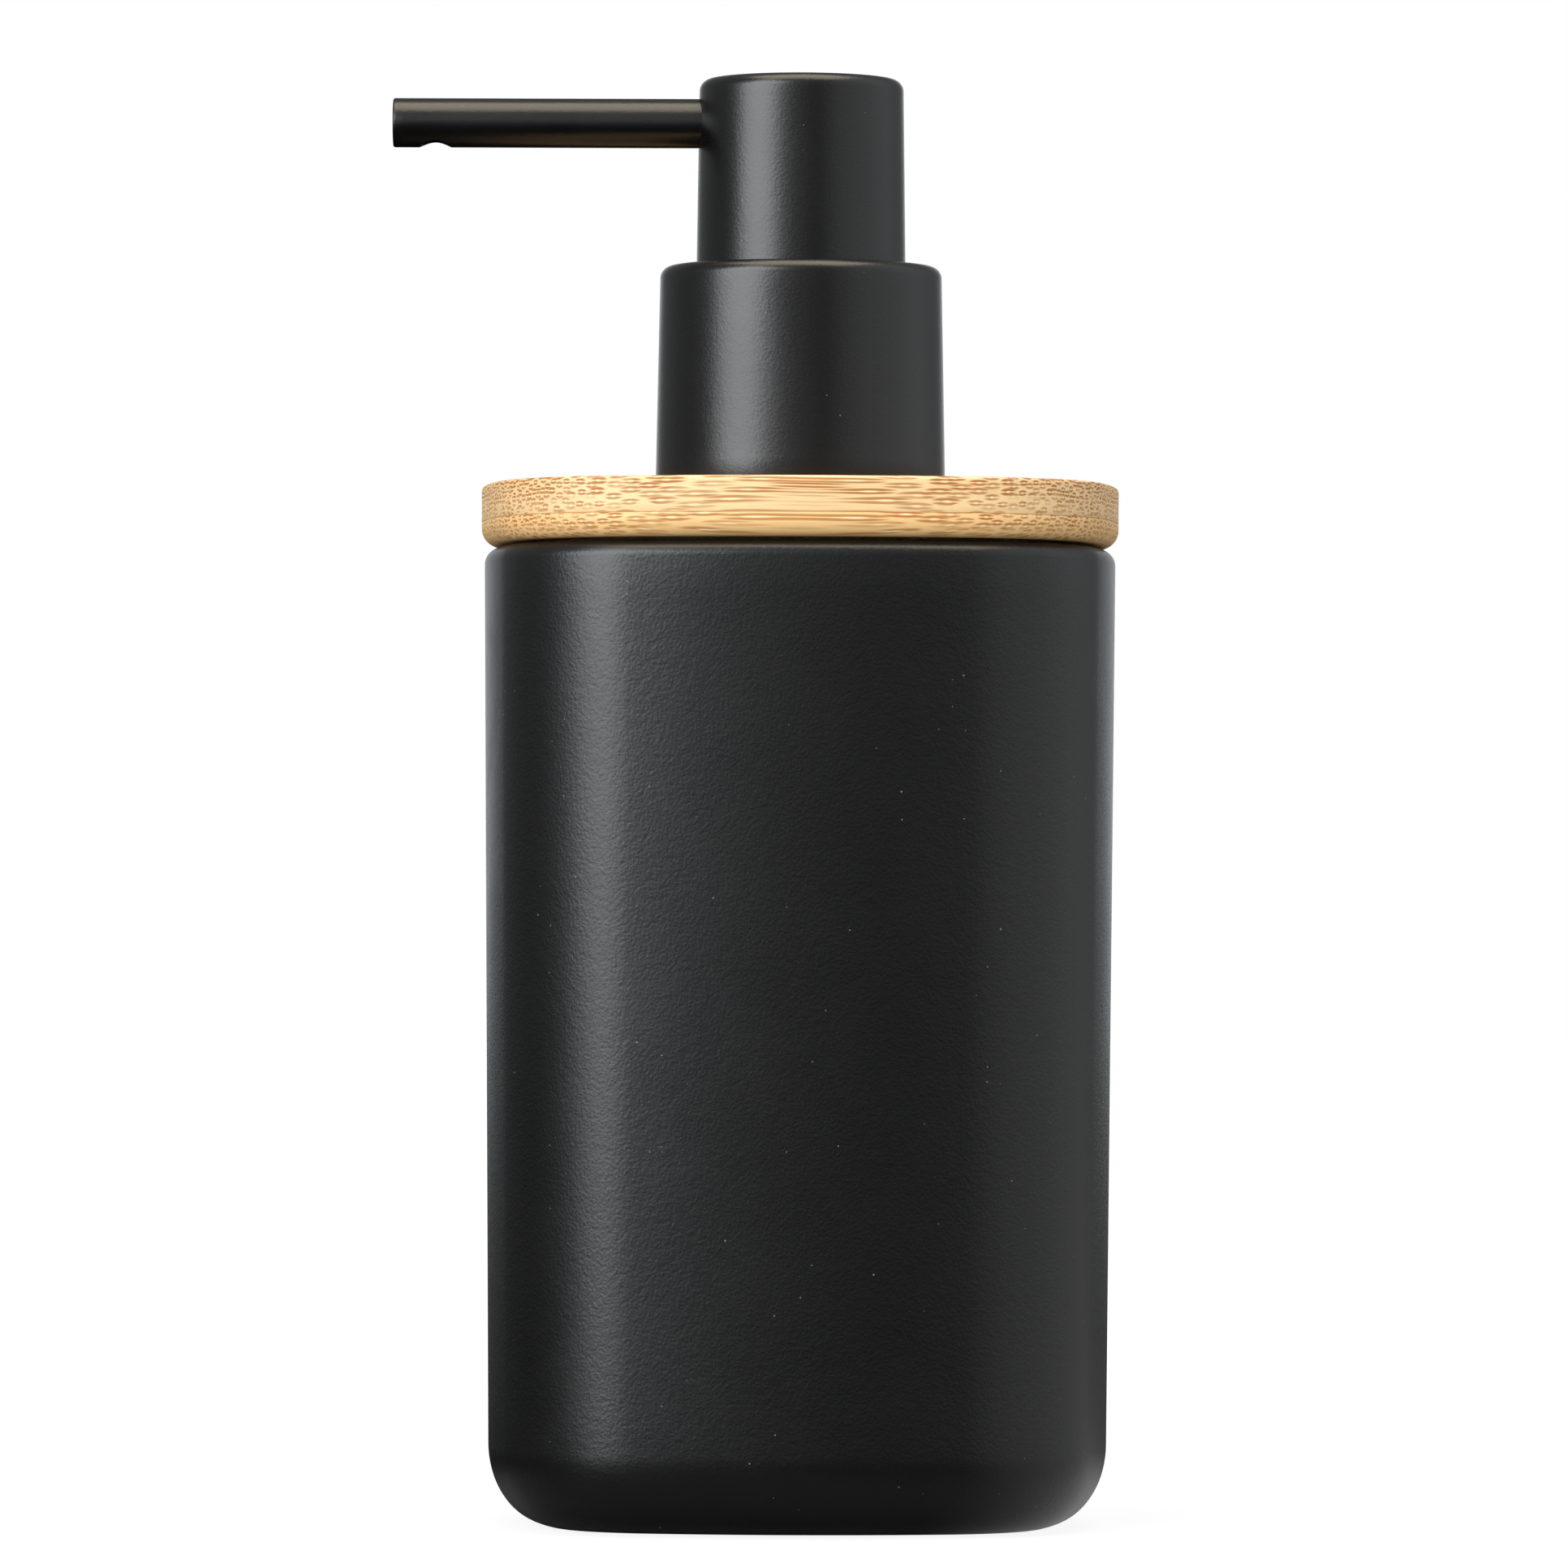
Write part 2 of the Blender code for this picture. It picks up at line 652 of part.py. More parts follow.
def stem(plastic):
    tube = turned(
        "stem",
        [
            (STEM_RADIUS - STEM_TIP[0], STEM_TOP),
            (STEM_RADIUS, STEM_TOP - STEM_TIP[1]),
            (STEM_RADIUS, STEM_SHOULDER),
            (STEM_FOOT_RADIUS, STEM_SHOULDER),
            (STEM_FOOT_RADIUS, STEM_BOTTOM),
            (STEM_BORE, STEM_BOTTOM),
            (STEM_BORE, STEM_TOP),
        ],
        plastic,
        segments=COARSE,
    )
    port_height = STEM_BOTTOM + PORT_RISE
    reach = STEM_RADIUS + CLEAR
    port = rod("cut_stem_port", PORT_RADIUS, -reach, reach, "-X", (0, 0, port_height), 12)
    boolean(tube, port, "DIFFERENCE")


def piston(rubber):
    outer = BARREL_BORE - SLIDE
    inner = STEM_FOOT_RADIUS + SLIDE
    waist = outer - PISTON_WAIST
    top = PISTON_BOTTOM + PISTON_HEIGHT
    turned(
        "piston",
        [
            (outer, top),
            (outer, top - PISTON_LIP),
            (waist, top - 1.6 * PISTON_LIP),
            (waist, PISTON_BOTTOM + 1.6 * PISTON_LIP),
            (outer, PISTON_BOTTOM + PISTON_LIP),
            (outer, PISTON_BOTTOM),
            (inner, PISTON_BOTTOM),
            (inner, top),
        ],
        rubber,
        segments=COARSE,
    )


def stem_valve(plastic):
    spigot = STEM_BORE - SLIDE
    turned(
        "stem_valve",
        [
            (0.0, VALVE_TOP + SPIGOT_HEIGHT),
            (spigot, VALVE_TOP + SPIGOT_HEIGHT),
            (spigot, VALVE_TOP),
            (VALVE_RADIUS, VALVE_TOP),
            (VALVE_RADIUS, VALVE_TOP - VALVE_PLATE),
            (SPRING_RADIUS + SPRING_WIRE, VALVE_BOTTOM),
            (0.0, VALVE_BOTTOM),
        ],
        plastic,
        closed=False,
        segments=COARSE,
    )


def return_spring(steel):
    start = SPRING_BOTTOM + SPRING_WIRE
    pitch = (SPRING_TOP - SPRING_BOTTOM - 2 * SPRING_WIRE) / SPRING_TURNS
    wire("return_spring", helix(SPRING_RADIUS, start, pitch, 0.0, SPRING_TURNS, 16), SPRING_WIRE, steel)


def ball_retainer(plastic):
    ring(
        "ball_retainer",
        BARREL_BORE - SLIDE,
        RETAINER_BORE,
        RETAINER_BOTTOM,
        RETAINER_TOP,
        plastic,
        segments=COARSE,
    )


def inlet_ball(steel):
    edit = bmesh.new()
    bmesh.ops.create_uvsphere(edit, u_segments=24, v_segments=12, radius=BALL_RADIUS)
    mesh = bpy.data.meshes.new("inlet_ball")
    edit.to_mesh(mesh)
    edit.free()
    ball = add("inlet_ball", mesh, steel)
    ball.location = (0, 0, BALL_HEIGHT)


def dip_tube(plastic):
    ring(
        "dip_tube",
        TUBE_RADIUS,
        TUBE_RADIUS - TUBE_WALL,
        CAVITY_BOTTOM + TUBE_ABOVE_FLOOR,
        SOCKET_TOP - GAP,
        plastic,
        segments=COARSE,
    )


# ---------------------------------------------------------------- actuator


def actuator_core(plastic):
    """The inner column: a socket for the stem, a web that centres it and a nipple for the spout."""
    socket = STEM_RADIUS + SLIDE
    web = HEAD_TOP_RADIUS - HEAD_WALL - SLIDE
    web_bottom = HEAD_BOTTOM + WEB_RISE
    top = HEAD_CEILING - GAP
    throat = NIPPLE_RADIUS
    throat_top = SPOUT_HEIGHT + NIPPLE_RADIUS - NIPPLE_WALL
    core = turned(
        "actuator_core",
        [
            (0.0, top),
            (CORE_RADIUS, top),
            (CORE_RADIUS, web_bottom + WEB_THICKNESS),
            (web, web_bottom + WEB_THICKNESS),
            (web, web_bottom),
            (CORE_RADIUS, web_bottom),
            (CORE_RADIUS, HEAD_BOTTOM),
            (socket, HEAD_BOTTOM),
            (socket, STEM_TOP + GAP),
            (throat, STEM_TOP + GAP),
            (throat, throat_top),
            (0.0, throat_top),
        ],
        plastic,
        closed=False,
        segments=COARSE,
    )
    centre = (0, 0, SPOUT_HEIGHT)
    end = CORE_RADIUS + NIPPLE_LENGTH
    nipple = rod("add_nipple", NIPPLE_RADIUS, CORE_RADIUS - CORE_WALL + MERGE, end, "-X", centre, 16)
    channel = NIPPLE_RADIUS - NIPPLE_WALL
    bore = rod("cut_nipple_bore", channel, CHANNEL_START, end + CLEAR, "-X", centre, 16)
    boolean(core, nipple, "UNION")
    boolean(core, bore, "DIFFERENCE")


def actuator_head(plastic):
    corner = (HEAD_TOP_RADIUS - HEAD_EDGE, HEAD_TOP - HEAD_EDGE)
    head = turned(
        "actuator_head",
        [
            (0.0, HEAD_TOP),
            *reversed(arc(corner, HEAD_EDGE, 0.0, TAU / 4, 6)),
            (HEAD_RADIUS, HEAD_BOTTOM),
            (HEAD_RADIUS - HEAD_WALL, HEAD_BOTTOM),
            (HEAD_TOP_RADIUS - HEAD_WALL, HEAD_CEILING),
            (0.0, HEAD_CEILING),
        ],
        plastic,
        closed=False,
    )
    hole = SPOUT_RADIUS + SLIDE
    cut = rod("cut_spout_hole", hole, CORE_RADIUS, HEAD_RADIUS + CLEAR, "-X", (0, 0, SPOUT_HEIGHT))
    boolean(head, cut, "DIFFERENCE")


def spout_tube(plastic):
    bore = SPOUT_RADIUS - SPOUT_WALL
    start = CORE_RADIUS + 2 * GAP
    tube = turned(
        "spout_tube",
        [
            (bore, SPOUT_REACH),
            (SPOUT_RADIUS - SPOUT_EDGE, SPOUT_REACH),
            (SPOUT_RADIUS, SPOUT_REACH - SPOUT_EDGE),
            (SPOUT_RADIUS, start),
            (bore, start),
        ],
        plastic,
        axis="-X",
        centre=(0, 0, SPOUT_HEIGHT),
        segments=COARSE,
    )
    outlet_x = OUTLET_FROM_TIP - SPOUT_REACH
    outlet = rod("cut_outlet", OUTLET_RADIUS, -CLEAR, 0.0, centre=(outlet_x, 0, SPOUT_HEIGHT))
    boolean(tube, outlet, "DIFFERENCE")


def spout_end_plug(plastic):
    rod(
        "spout_end_plug",
        SPOUT_RADIUS - SPOUT_WALL - SLIDE,
        SPOUT_REACH - END_PLUG_LENGTH,
        SPOUT_REACH,
        "-X",
        (0, 0, SPOUT_HEIGHT),
        material=plastic,
    )


# ---------------------------------------------------------------- assembly


def build():
    matt_glaze = finish("matt black glaze", (0.012, 0.012, 0.013), 0.42)
    bamboo = finish("bamboo", (0.80, 0.58, 0.32), 0.55)
    black_plastic = finish("black plastic", (0.013, 0.013, 0.013), 0.38)
    natural_plastic = finish("natural plastic", (0.78, 0.78, 0.75), 0.45)
    soft_white = finish("soft white polymer", (0.85, 0.85, 0.83), 0.5)
    silicone = finish("silicone", (0.62, 0.63, 0.62), 0.6)
    foam = finish("black foam", (0.03, 0.03, 0.03), 0.9)
    steel = finish("stainless steel", (0.62, 0.61, 0.59), 0.25, 1.0)

    bottle_body(matt_glaze)
    base_pad(foam)

    bamboo_lid(bamboo)
    lid_plug(natural_plastic)
    lid_seal(silicone)
    neck_insert(natural_plastic)
    neck_washer(silicone)
    lock_nut(natural_plastic)

    housing_gasket(silicone)
    closure_cap(natural_plastic)
    collar_shell(black_plastic)

    pump_housing(natural_plastic)
    stem_guide(natural_plastic)
    stem(natural_plastic)
    piston(soft_white)
    stem_valve(natural_plastic)
    return_spring(steel)
    ball_retainer(natural_plastic)
    inlet_ball(steel)
    dip_tube(soft_white)

    actuator_core(natural_plastic)
    actuator_head(black_plastic)
    spout_tube(black_plastic)
    spout_end_plug(black_plastic)


clear_scene()
PARTS = new_collection("soap_pump_dispenser", hidden=False)
CUTTERS = new_collection("cutters", hidden=True)
build()
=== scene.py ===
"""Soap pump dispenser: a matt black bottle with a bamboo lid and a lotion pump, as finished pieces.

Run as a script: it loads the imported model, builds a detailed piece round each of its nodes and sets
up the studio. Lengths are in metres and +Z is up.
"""

import json
import math

import bmesh
import bpy
from bpy.props import FloatProperty, FloatVectorProperty, IntProperty, PointerProperty
from mathutils import Matrix, Quaternion, Vector


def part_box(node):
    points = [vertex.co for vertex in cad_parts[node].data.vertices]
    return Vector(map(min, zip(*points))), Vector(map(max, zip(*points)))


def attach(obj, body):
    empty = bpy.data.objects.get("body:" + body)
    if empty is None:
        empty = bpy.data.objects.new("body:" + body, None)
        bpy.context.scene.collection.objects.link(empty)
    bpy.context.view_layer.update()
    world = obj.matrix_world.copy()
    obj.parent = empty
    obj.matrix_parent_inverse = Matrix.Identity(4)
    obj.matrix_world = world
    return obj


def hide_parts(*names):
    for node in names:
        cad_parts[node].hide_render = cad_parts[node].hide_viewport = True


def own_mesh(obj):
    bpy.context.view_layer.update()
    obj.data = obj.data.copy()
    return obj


bl_info = {
    "name": "Soap pump dispenser",
    "version": (1, 0, 0),
    "blender": (4, 5, 0),
    "location": "3D View > Sidebar > Dispenser",
    "description": "Builds a soap pump dispenser with a bamboo lid, and a studio round it",
    "category": "Add Mesh",
}

MM = 0.001
TAU = 2 * math.pi
ROUND = 128  # steps round a visible turned piece
NECK_ROUND = 96  # steps round the neck and what fits it
INNER_ROUND = 64  # steps round a piece inside the bottle
BORE_ROUND = 32  # steps round a small bore
PLUG_ROUND = 160  # steps round the outline of the plug and its seal
GAP = 0.3 * MM  # clearance between pieces that don't touch
NECK_BARREL = 12.2 * MM  # radius of the neck under its thread
NECK_BORE = 9.8 * MM
NECK_HOLE = NECK_BARREL + 2 * GAP  # through the lid, its plug, the washer and the nut
THREAD_START = 0.6 * MM  # lid to the foot of the thread's first ridge
PAST = 1.0 * MM  # how far a cutting shape reaches past what it cuts
OUTLINE = -1.0  # marks a meridian point that follows the bottle's outline

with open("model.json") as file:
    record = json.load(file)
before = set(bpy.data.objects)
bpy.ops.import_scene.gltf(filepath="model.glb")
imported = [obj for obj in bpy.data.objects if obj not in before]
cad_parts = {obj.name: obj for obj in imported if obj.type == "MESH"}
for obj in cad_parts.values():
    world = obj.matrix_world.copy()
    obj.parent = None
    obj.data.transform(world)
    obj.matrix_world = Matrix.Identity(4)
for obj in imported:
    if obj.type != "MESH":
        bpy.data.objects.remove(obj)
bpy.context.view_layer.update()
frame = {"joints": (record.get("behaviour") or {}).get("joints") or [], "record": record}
NODE_BODY = {
    node: body for body, nodes in frame["record"]["behaviour"]["bodies"].items() for node in nodes
}
NODE_SLOT = {row["node"]: row["material_slot"] for row in frame["record"]["subparts"]}
THREAD_RATIO = frame["record"]["behaviour"]["couplings"][0]["ratio"]


def bottom(node):
    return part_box(node)[0].z


def top(node):
    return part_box(node)[1].z


def radius(node):
    """A turned node's largest radius, from its width across Y."""
    low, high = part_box(node)
    return (high.y - low.y) / 2


# ---------------------------------------------------------------- settings


def size_property(name, description, default):
    return FloatProperty(
        name=name, description=description, default=default, subtype="DISTANCE", unit="LENGTH"
    )


def level_property(name, description, default):
    return FloatProperty(name=name, description=description, default=default)


def colour_property(name, description, default):
    return FloatVectorProperty(
        name=name, description=description, subtype="COLOR", size=3, min=0, max=1, default=default
    )


class BottleSettings(bpy.types.PropertyGroup):
    half_width: size_property("Half width", "Axis to the middle of a side, at the top", 36.2 * MM)
    corner: size_property("Corner radius", "Radius of the upright corners", 20.5 * MM)
    crown: size_property("Side crown", "Radius of the slightly bulging sides", 78.0 * MM)
    lean: size_property("Lean", "How far each side leans in at the foot", 0.8 * MM)
    foot_height: size_property(
        "Foot height", "Height of the rounding where the sides meet the underside", 9.0 * MM
    )
    foot_depth: size_property("Foot depth", "How far that rounding reaches in", 7.0 * MM)
    shoulder: size_property("Shoulder radius", "Rounding of the outer edge under the lid", 1.8 * MM)
    wall: size_property("Wall", "Thickness of the sides", 4.5 * MM)
    steps: IntProperty(
        name="Steps round", description="Mesh steps round the outline", default=240, min=16,
    )


class LidSettings(bpy.types.PropertyGroup):
    overhang: size_property("Overhang", "How far the lid stands out past the bottle", 0.35 * MM)
    lower_ply: size_property("Lower ply", "Thickness of the lower bamboo ply", 2.7 * MM)
    top_edge: size_property("Top edge", "Rounding of the upper edge", 0.5 * MM)
    bottom_edge: size_property("Bottom edge", "Rounding of the lower edge", 2.0 * MM)
    bundle: FloatProperty(
        name="Fibre bundle pitch", description="Spacing of the bamboo's fibre bundles, in millimetres",
        default=0.95, min=0.2,
    )


class PumpSettings(bpy.types.PropertyGroup):
    pitch: size_property("Thread pitch", "Rise of the neck thread in one turn", THREAD_RATIO * TAU)
    ridge: size_property("Thread ridge", "Half the thread ridge's height", 0.8 * MM)
    wire: size_property("Spring wire", "Radius of the spring's wire", 0.45 * MM)
    coils: FloatProperty(name="Spring coils", description="Turns of the spring", default=8.0, min=2.0)
    spout: size_property("Spout wall", "Wall of the spout tube", 0.7 * MM)
    outlet: size_property("Outlet radius", "Radius of the hole under the spout's tip", 1.85 * MM)
    outlet_from_tip: size_property(
        "Outlet from tip", "Tip of the spout to the middle of the outlet", 4.85 * MM
    )


class FinishSettings(bpy.types.PropertyGroup):
    glaze: colour_property("Glaze", "Colour of the bottle", (0.0014, 0.0014, 0.0017))
    black: colour_property("Black plastic", "Colour of the collar and head", (0.0018, 0.0018, 0.0019))
    bamboo: colour_property("Bamboo", "Ground colour of the upper ply", (0.86, 0.60, 0.31))
    bamboo_low: colour_property("Lower ply", "Ground colour of the lower ply", (0.86, 0.55, 0.24))
    bamboo_dark: colour_property("Bamboo fibre", "Colour of the dark fibre rims", (0.42, 0.16, 0.03))
    natural: colour_property("Natural plastic", "Colour of undyed plastic parts", (0.78, 0.78, 0.74))


class StudioSettings(bpy.types.PropertyGroup):
    key: level_property("Key", "Brightness of the tall softbox at the left", 7.9)
    fill: level_property("Fill", "Brightness of the box in front, for matt surfaces", 7.9)
    roof_fill: level_property("Roof fill", "Brightness overhead, for matt surfaces", 2.3)
    roof: level_property("Top light", "Brightness of the box overhead", 5.2)
    roof_colour: colour_property("Top colour", "Colour of the box overhead", (1.0, 0.88, 0.70))
    cove: level_property("Cove", "Brightness of the white cove behind", 1.3)
    side: level_property("Side", "Brightness of the wide fill at the right", 0.85)
    front: level_property("Front", "Brightness of the room in front", 0.34)
    room: level_property("Room", "Brightness all round", 0.28)
    # The floor levels and floor light below are painted light: shade and light that only reflections see,
    # and light the floor gives off though it is no lamp
    near_floor: level_property("Near floor", "Floor round the foot, in reflections", 0.2)
    mid_floor: level_property("Middle floor", "Floor a hand away, in reflections", 0.008)
    far_floor: level_property("Far floor", "Floor far off, in reflections", 0.08)
    side_floor: level_property("Side floor", "Glow of the floor at the right", 0.5)
    bounce: level_property("Bounce", "Light that the floor gives matt surfaces", 0.4)
    camera_left: size_property("Camera offset", "Pump's axis to the camera, to the left", 1.7 * MM)
    camera_away: size_property("Camera distance", "Pump's axis to the camera, to the front", 1200 * MM)
    camera_height: size_property("Camera height", "Floor to the camera", 66.9 * MM)
    lens: level_property("Lens", "Focal length in millimetres on a 36 mm sensor", 239.8)
    shift: level_property("Lens shift", "Upward shift of the view, as a share of the sensor", 0.1004)
    roll: level_property("Camera roll", "Turn about the line of sight, in degrees", 0.19)


# ---------------------------------------------------------------- node building


def socket(tree, name, kind, default=None, in_out="INPUT"):
    made = tree.interface.new_socket(name=name, in_out=in_out, socket_type=kind)
    if default is not None:
        made.default_value = default
    return made


class Value:
    """A node's output that can stand in a sum, where each operation adds its own maths node."""

    def __init__(self, tree, output):
        self.tree = tree
        self.output = output

    def __add__(self, other):
        return calc(self.tree, "ADD", self, other)

    def __radd__(self, other):
        return calc(self.tree, "ADD", other, self)

    def __sub__(self, other):
        return calc(self.tree, "SUBTRACT", self, other)

    def __rsub__(self, other):
        return calc(self.tree, "SUBTRACT", other, self)

    def __mul__(self, other):
        return calc(self.tree, "MULTIPLY", self, other)

    def __rmul__(self, other):
        return calc(self.tree, "MULTIPLY", other, self)

    def __truediv__(self, other):
        return calc(self.tree, "DIVIDE", self, other)

    def __rtruediv__(self, other):
        return calc(self.tree, "DIVIDE", other, self)

    def __abs__(self):
        return calc(self.tree, "ABSOLUTE", self)


class Outputs:
    """A node's outputs by name, each as a Value."""

    def __init__(self, tree, made):
        self.tree = tree
        self.made = made

    def __getitem__(self, name):
        return Value(self.tree, self.made.outputs[name])


def output_of(value):
    """The socket behind a Value or a node, and anything else as it is."""
    if isinstance(value, Value):
        return value.output
    return value.outputs[0] if isinstance(value, bpy.types.Node) else value


def node(tree, kind, inputs=None, **settings):
    """A node with its settings, and its inputs linked or set by name or place."""
    made = tree.nodes.new(kind)
    for name, value in settings.items():
        setattr(made, name, value)
    for place, value in (inputs or {}).items():
        value = output_of(value)
        if isinstance(value, bpy.types.NodeSocket):
            tree.links.new(value, made.inputs[place])
        else:
            made.inputs[place].default_value = value
    return made


def outputs(tree, kind, inputs=None, **settings):
    return Outputs(tree, node(tree, kind, inputs, **settings))


def calc(tree, operation, *values, clamp=False):
    places = dict(enumerate(values))
    return outputs(tree, "ShaderNodeMath", places, operation=operation, use_clamp=clamp)["Value"]


def vector_calc(tree, operation, *values):
    made = outputs(tree, "ShaderNodeVectorMath", dict(enumerate(values)), operation=operation)
    return made["Value" if operation == "LENGTH" else "Vector"]


def remap(tree, value, low, high, start=0.0, end=1.0, kind="SMOOTHSTEP"):
    sockets = {"Value": value, "From Min": low, "From Max": high, "To Min": start, "To Max": end}
    return outputs(tree, "ShaderNodeMapRange", sockets, interpolation_type=kind)["Result"]


def combine(tree, x=0.0, y=0.0, z=0.0):
    return node(tree, "ShaderNodeCombineXYZ", {"X": x, "Y": y, "Z": z}).outputs[0]


def separate(tree, vector):
    return outputs(tree, "ShaderNodeSeparateXYZ", {0: vector})


def separate_colour(tree, colour):
    return outputs(tree, "ShaderNodeSeparateColor", {0: colour})


def scaled(tree, vector, factor):
    made = outputs(tree, "ShaderNodeVectorMath", {0: vector, "Scale": factor}, operation="SCALE")
    return made["Vector"]


def mix_vector(tree, factor, first, second):
    """second where the factor is 1 and first where it is 0."""
    kept = scaled(tree, first, 1.0 - factor)
    return vector_calc(tree, "ADD", kept, scaled(tree, second, factor))


def mix_colour(tree, factor, first, second):
    """second where the factor is 1 and first where it is 0."""
    mixed = node(tree, "ShaderNodeMix", {"Factor": factor, 6: first, 7: second}, data_type="RGBA")
    return mixed.outputs[2]


def noise(tree, vector, scale, detail, roughness=0.5, distortion=0.0):
    inputs = {
        "Vector": vector, "Scale": scale, "Detail": detail, "Roughness": roughness,
        "Distortion": distortion,
    }
    return outputs(tree, "ShaderNodeTexNoise", inputs)


# ---------------------------------------------------------------- geometry trees


def sweep_tree():
    """Turns a meridian round the Z axis, along a circle or along the bottle's crowned outline.

    A meridian point is (inset, radius, height). With a radius it lies on a circle, and without one it
    lies on the outline, moved in by the inset. The outline leans in evenly towards its foot.
    """
    tree = bpy.data.node_groups.new("Meridian sweep", "GeometryNodeTree")
    socket(tree, "Meridian", "NodeSocketGeometry")
    socket(tree, "Steps", "NodeSocketInt", 64)
    for name in ("Half width", "Corner", "Crown", "Lean", "Foot height", "Top height"):
        socket(tree, name, "NodeSocketFloat", 0.0)
    socket(tree, "Material", "NodeSocketMaterial")
    socket(tree, "Geometry", "NodeSocketGeometry", in_out="OUTPUT")
    given = outputs(tree, "NodeGroupInput")
    half, corner, crown = given["Half width"], given["Corner"], given["Crown"]

    # The corner's centre and the angle where a side meets it
    reach = crown - half
    spread = crown - corner
    root = calc(tree, "SQRT", spread * spread * 2.0 - reach * reach)
    centre = (root - reach) * 0.5
    meet = calc(tree, "ARCTAN2", centre, reach + centre)

    # A grid whose X runs round and whose Y runs along the meridian
    domain = outputs(tree, "GeometryNodeAttributeDomainSize", {"Geometry": given["Meridian"]})
    count = domain["Point Count"]
    sizes = {"Size X": 1.0, "Size Y": 1.0, "Vertices X": given["Steps"] + 1.0, "Vertices Y": count}
    grid = node(tree, "GeometryNodeMeshGrid", sizes).outputs["Mesh"]
    place = separate(tree, node(tree, "GeometryNodeInputPosition"))
    turn = (place["X"] + 0.5) * TAU
    row = (place["Y"] + 0.5) * (count - 1.0)
    sample = node(
        tree,
        "GeometryNodeSampleIndex",
        {"Geometry": given["Meridian"], "Value": node(tree, "GeometryNodeInputPosition"),
         "Index": calc(tree, "ROUND", row)},
        data_type="FLOAT_VECTOR",
        domain="POINT",
    )
    point = separate(tree, sample.outputs["Value"])
    inset, ring, height = point["X"], point["Y"], point["Z"]

    # The outline in the quarter that faces +X, then turned to its own quarter
    local = calc(tree, "WRAP", turn, TAU / 8, -TAU / 8)
    in_corner = calc(tree, "GREATER_THAN", abs(local), meet)
    cosine, sine = calc(tree, "COSINE", local), calc(tree, "SINE", local)
    swing = in_corner * corner + (1.0 - in_corner) * crown - inset
    base_x = in_corner * (centre + reach) - reach
    base_y = in_corner * centre * calc(tree, "SIGN", local)
    flat = combine(tree, swing * cosine + base_x, swing * sine + base_y)
    quarter = turn - local
    turned = node(
        tree, "ShaderNodeVectorRotate", {"Vector": flat, "Angle": quarter}, rotation_type="Z_AXIS"
    )

    # How far down the point lies, as a share of the height, sets how far the outline has shrunk
    tall = given["Top height"] - given["Foot height"]
    drop = (given["Top height"] - height) / calc(tree, "MAXIMUM", tall, 1e-6)
    share = given["Lean"] / calc(tree, "MAXIMUM", half, 1e-6)
    shrink = 1.0 - share * drop
    on_outline = vector_calc(tree, "MULTIPLY", turned.outputs[0], combine(tree, shrink, shrink, 0.0))

    circle = combine(tree, ring * calc(tree, "COSINE", turn), ring * calc(tree, "SINE", turn))
    on_ring = calc(tree, "GREATER_THAN", ring, OUTLINE / 2)
    mixed = mix_vector(tree, on_ring, on_outline, circle)
    lifted = vector_calc(tree, "ADD", mixed, combine(tree, 0.0, 0.0, height))
    shaped = node(tree, "GeometryNodeSetPosition", {"Geometry": grid, "Position": lifted})
    welded = node(tree, "GeometryNodeMergeByDistance", {"Geometry": shaped, "Distance": 1e-6})
    finish_tree(tree, welded, given)
    return tree


def finish_tree(tree, geometry, given):
    """Ends a tree in plain geometry with its material."""
    real = node(tree, "GeometryNodeRealizeInstances", {"Geometry": geometry})
    painted = node(tree, "GeometryNodeSetMaterial", {"Geometry": real, "Material": given["Material"]})
    node(tree, "NodeGroupOutput", {"Geometry": painted})


